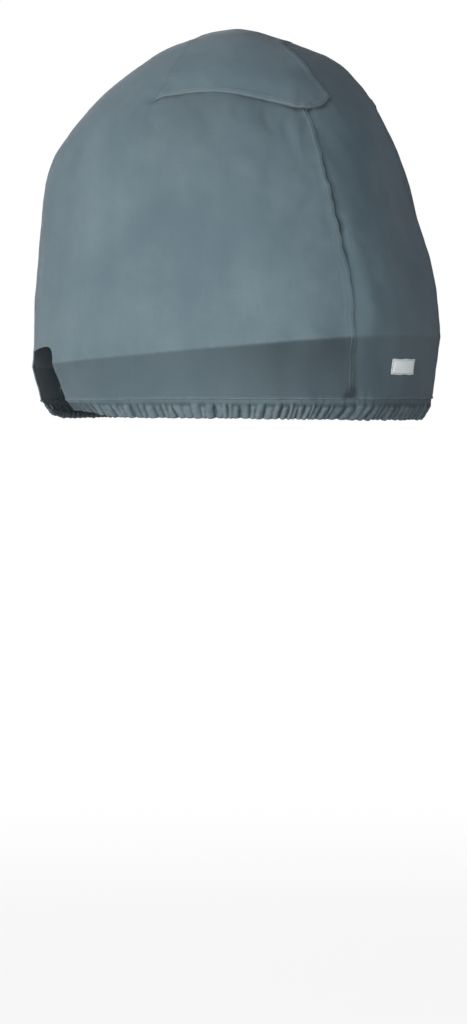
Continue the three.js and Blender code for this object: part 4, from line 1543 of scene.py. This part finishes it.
def floorFinish():
    material, tree, shader = newFinish("paleFloor")
    shader.inputs["Base Color"].default_value = studio["floorColour"]
    shader.inputs["Roughness"].default_value = 0.9
    shader.inputs["Specular IOR Level"].default_value = 0.1
    bright = tree.nodes.new("ShaderNodeEmission")
    bright.inputs["Strength"].default_value = 1.0
    path = tree.nodes.new("ShaderNodeLightPath")
    apart = tree.nodes.new("ShaderNodeVectorMath")
    apart.operation = "LENGTH"
    tree.links.new(inMetres(tree), apart.inputs[0])
    outward = spreadOut(tree, apart.outputs["Value"], *studio["floorPale"], studio["floorGlow"], 1.0)
    mix = tree.nodes.new("ShaderNodeMixShader")
    tree.links.new(times(tree, path.outputs["Is Camera Ray"], outward), mix.inputs["Fac"])
    tree.links.new(shader.outputs["BSDF"], mix.inputs[1])
    tree.links.new(bright.outputs["Emission"], mix.inputs[2])
    tree.links.new(mix.outputs["Shader"], tree.nodes["Material Output"].inputs["Surface"])
    return material


def setFloor():
    ring = np.linspace(0, 2 * math.pi, 97)[:-1]
    rim = np.stack([np.cos(ring), np.sin(ring), 0 * ring], -1) * studio["floorRadius"]
    made = meshObject("studio_floor", rim, [list(range(len(rim)))])
    made.location.z = -studio["floorBelow"]
    made.data.materials.append(floorFinish())


def softLight(name, place, size, power, colour):
    made = addObject(name, bpy.data.lights.new(name, "AREA"))
    made.data.shape = "DISK"
    made.data.size = size
    made.data.energy = power
    made.data.color = colour
    made.location = place
    aim = Vector(studio["aim"]) - Vector(place)
    made.rotation_euler = aim.to_track_quat("-Z", "Y").to_euler()


def setSky():
    world = bpy.data.worlds.new("studio")
    bpy.context.scene.world = world
    world.use_nodes = True
    tree = world.node_tree
    background = tree.nodes["Background"]
    direction = tree.nodes.new("ShaderNodeTexCoord").outputs["Generated"]
    apart = tree.nodes.new("ShaderNodeSeparateXYZ")
    tree.links.new(direction, apart.inputs[0])
    sky = spreadOut(tree, apart.outputs["Z"], -0.3, 0.3, studio["skyBelow"], studio["skyAbove"])
    seen = tree.nodes.new("ShaderNodeLightPath").outputs["Is Camera Ray"]
    tree.links.new(mathNode(tree, "MAXIMUM", seen, sky), background.inputs["Strength"])
    tree.links.new(blended(tree, seen, studio["skyColour"], (1, 1, 1, 1)), background.inputs["Color"])


setCamera()
setFloor()
setSky()
for name, lamp in studio["lamps"].items():
    softLight(name, *lamp)
bpy.context.scene.view_settings.view_transform = "Standard"
print("cover: camera, floor and light set")
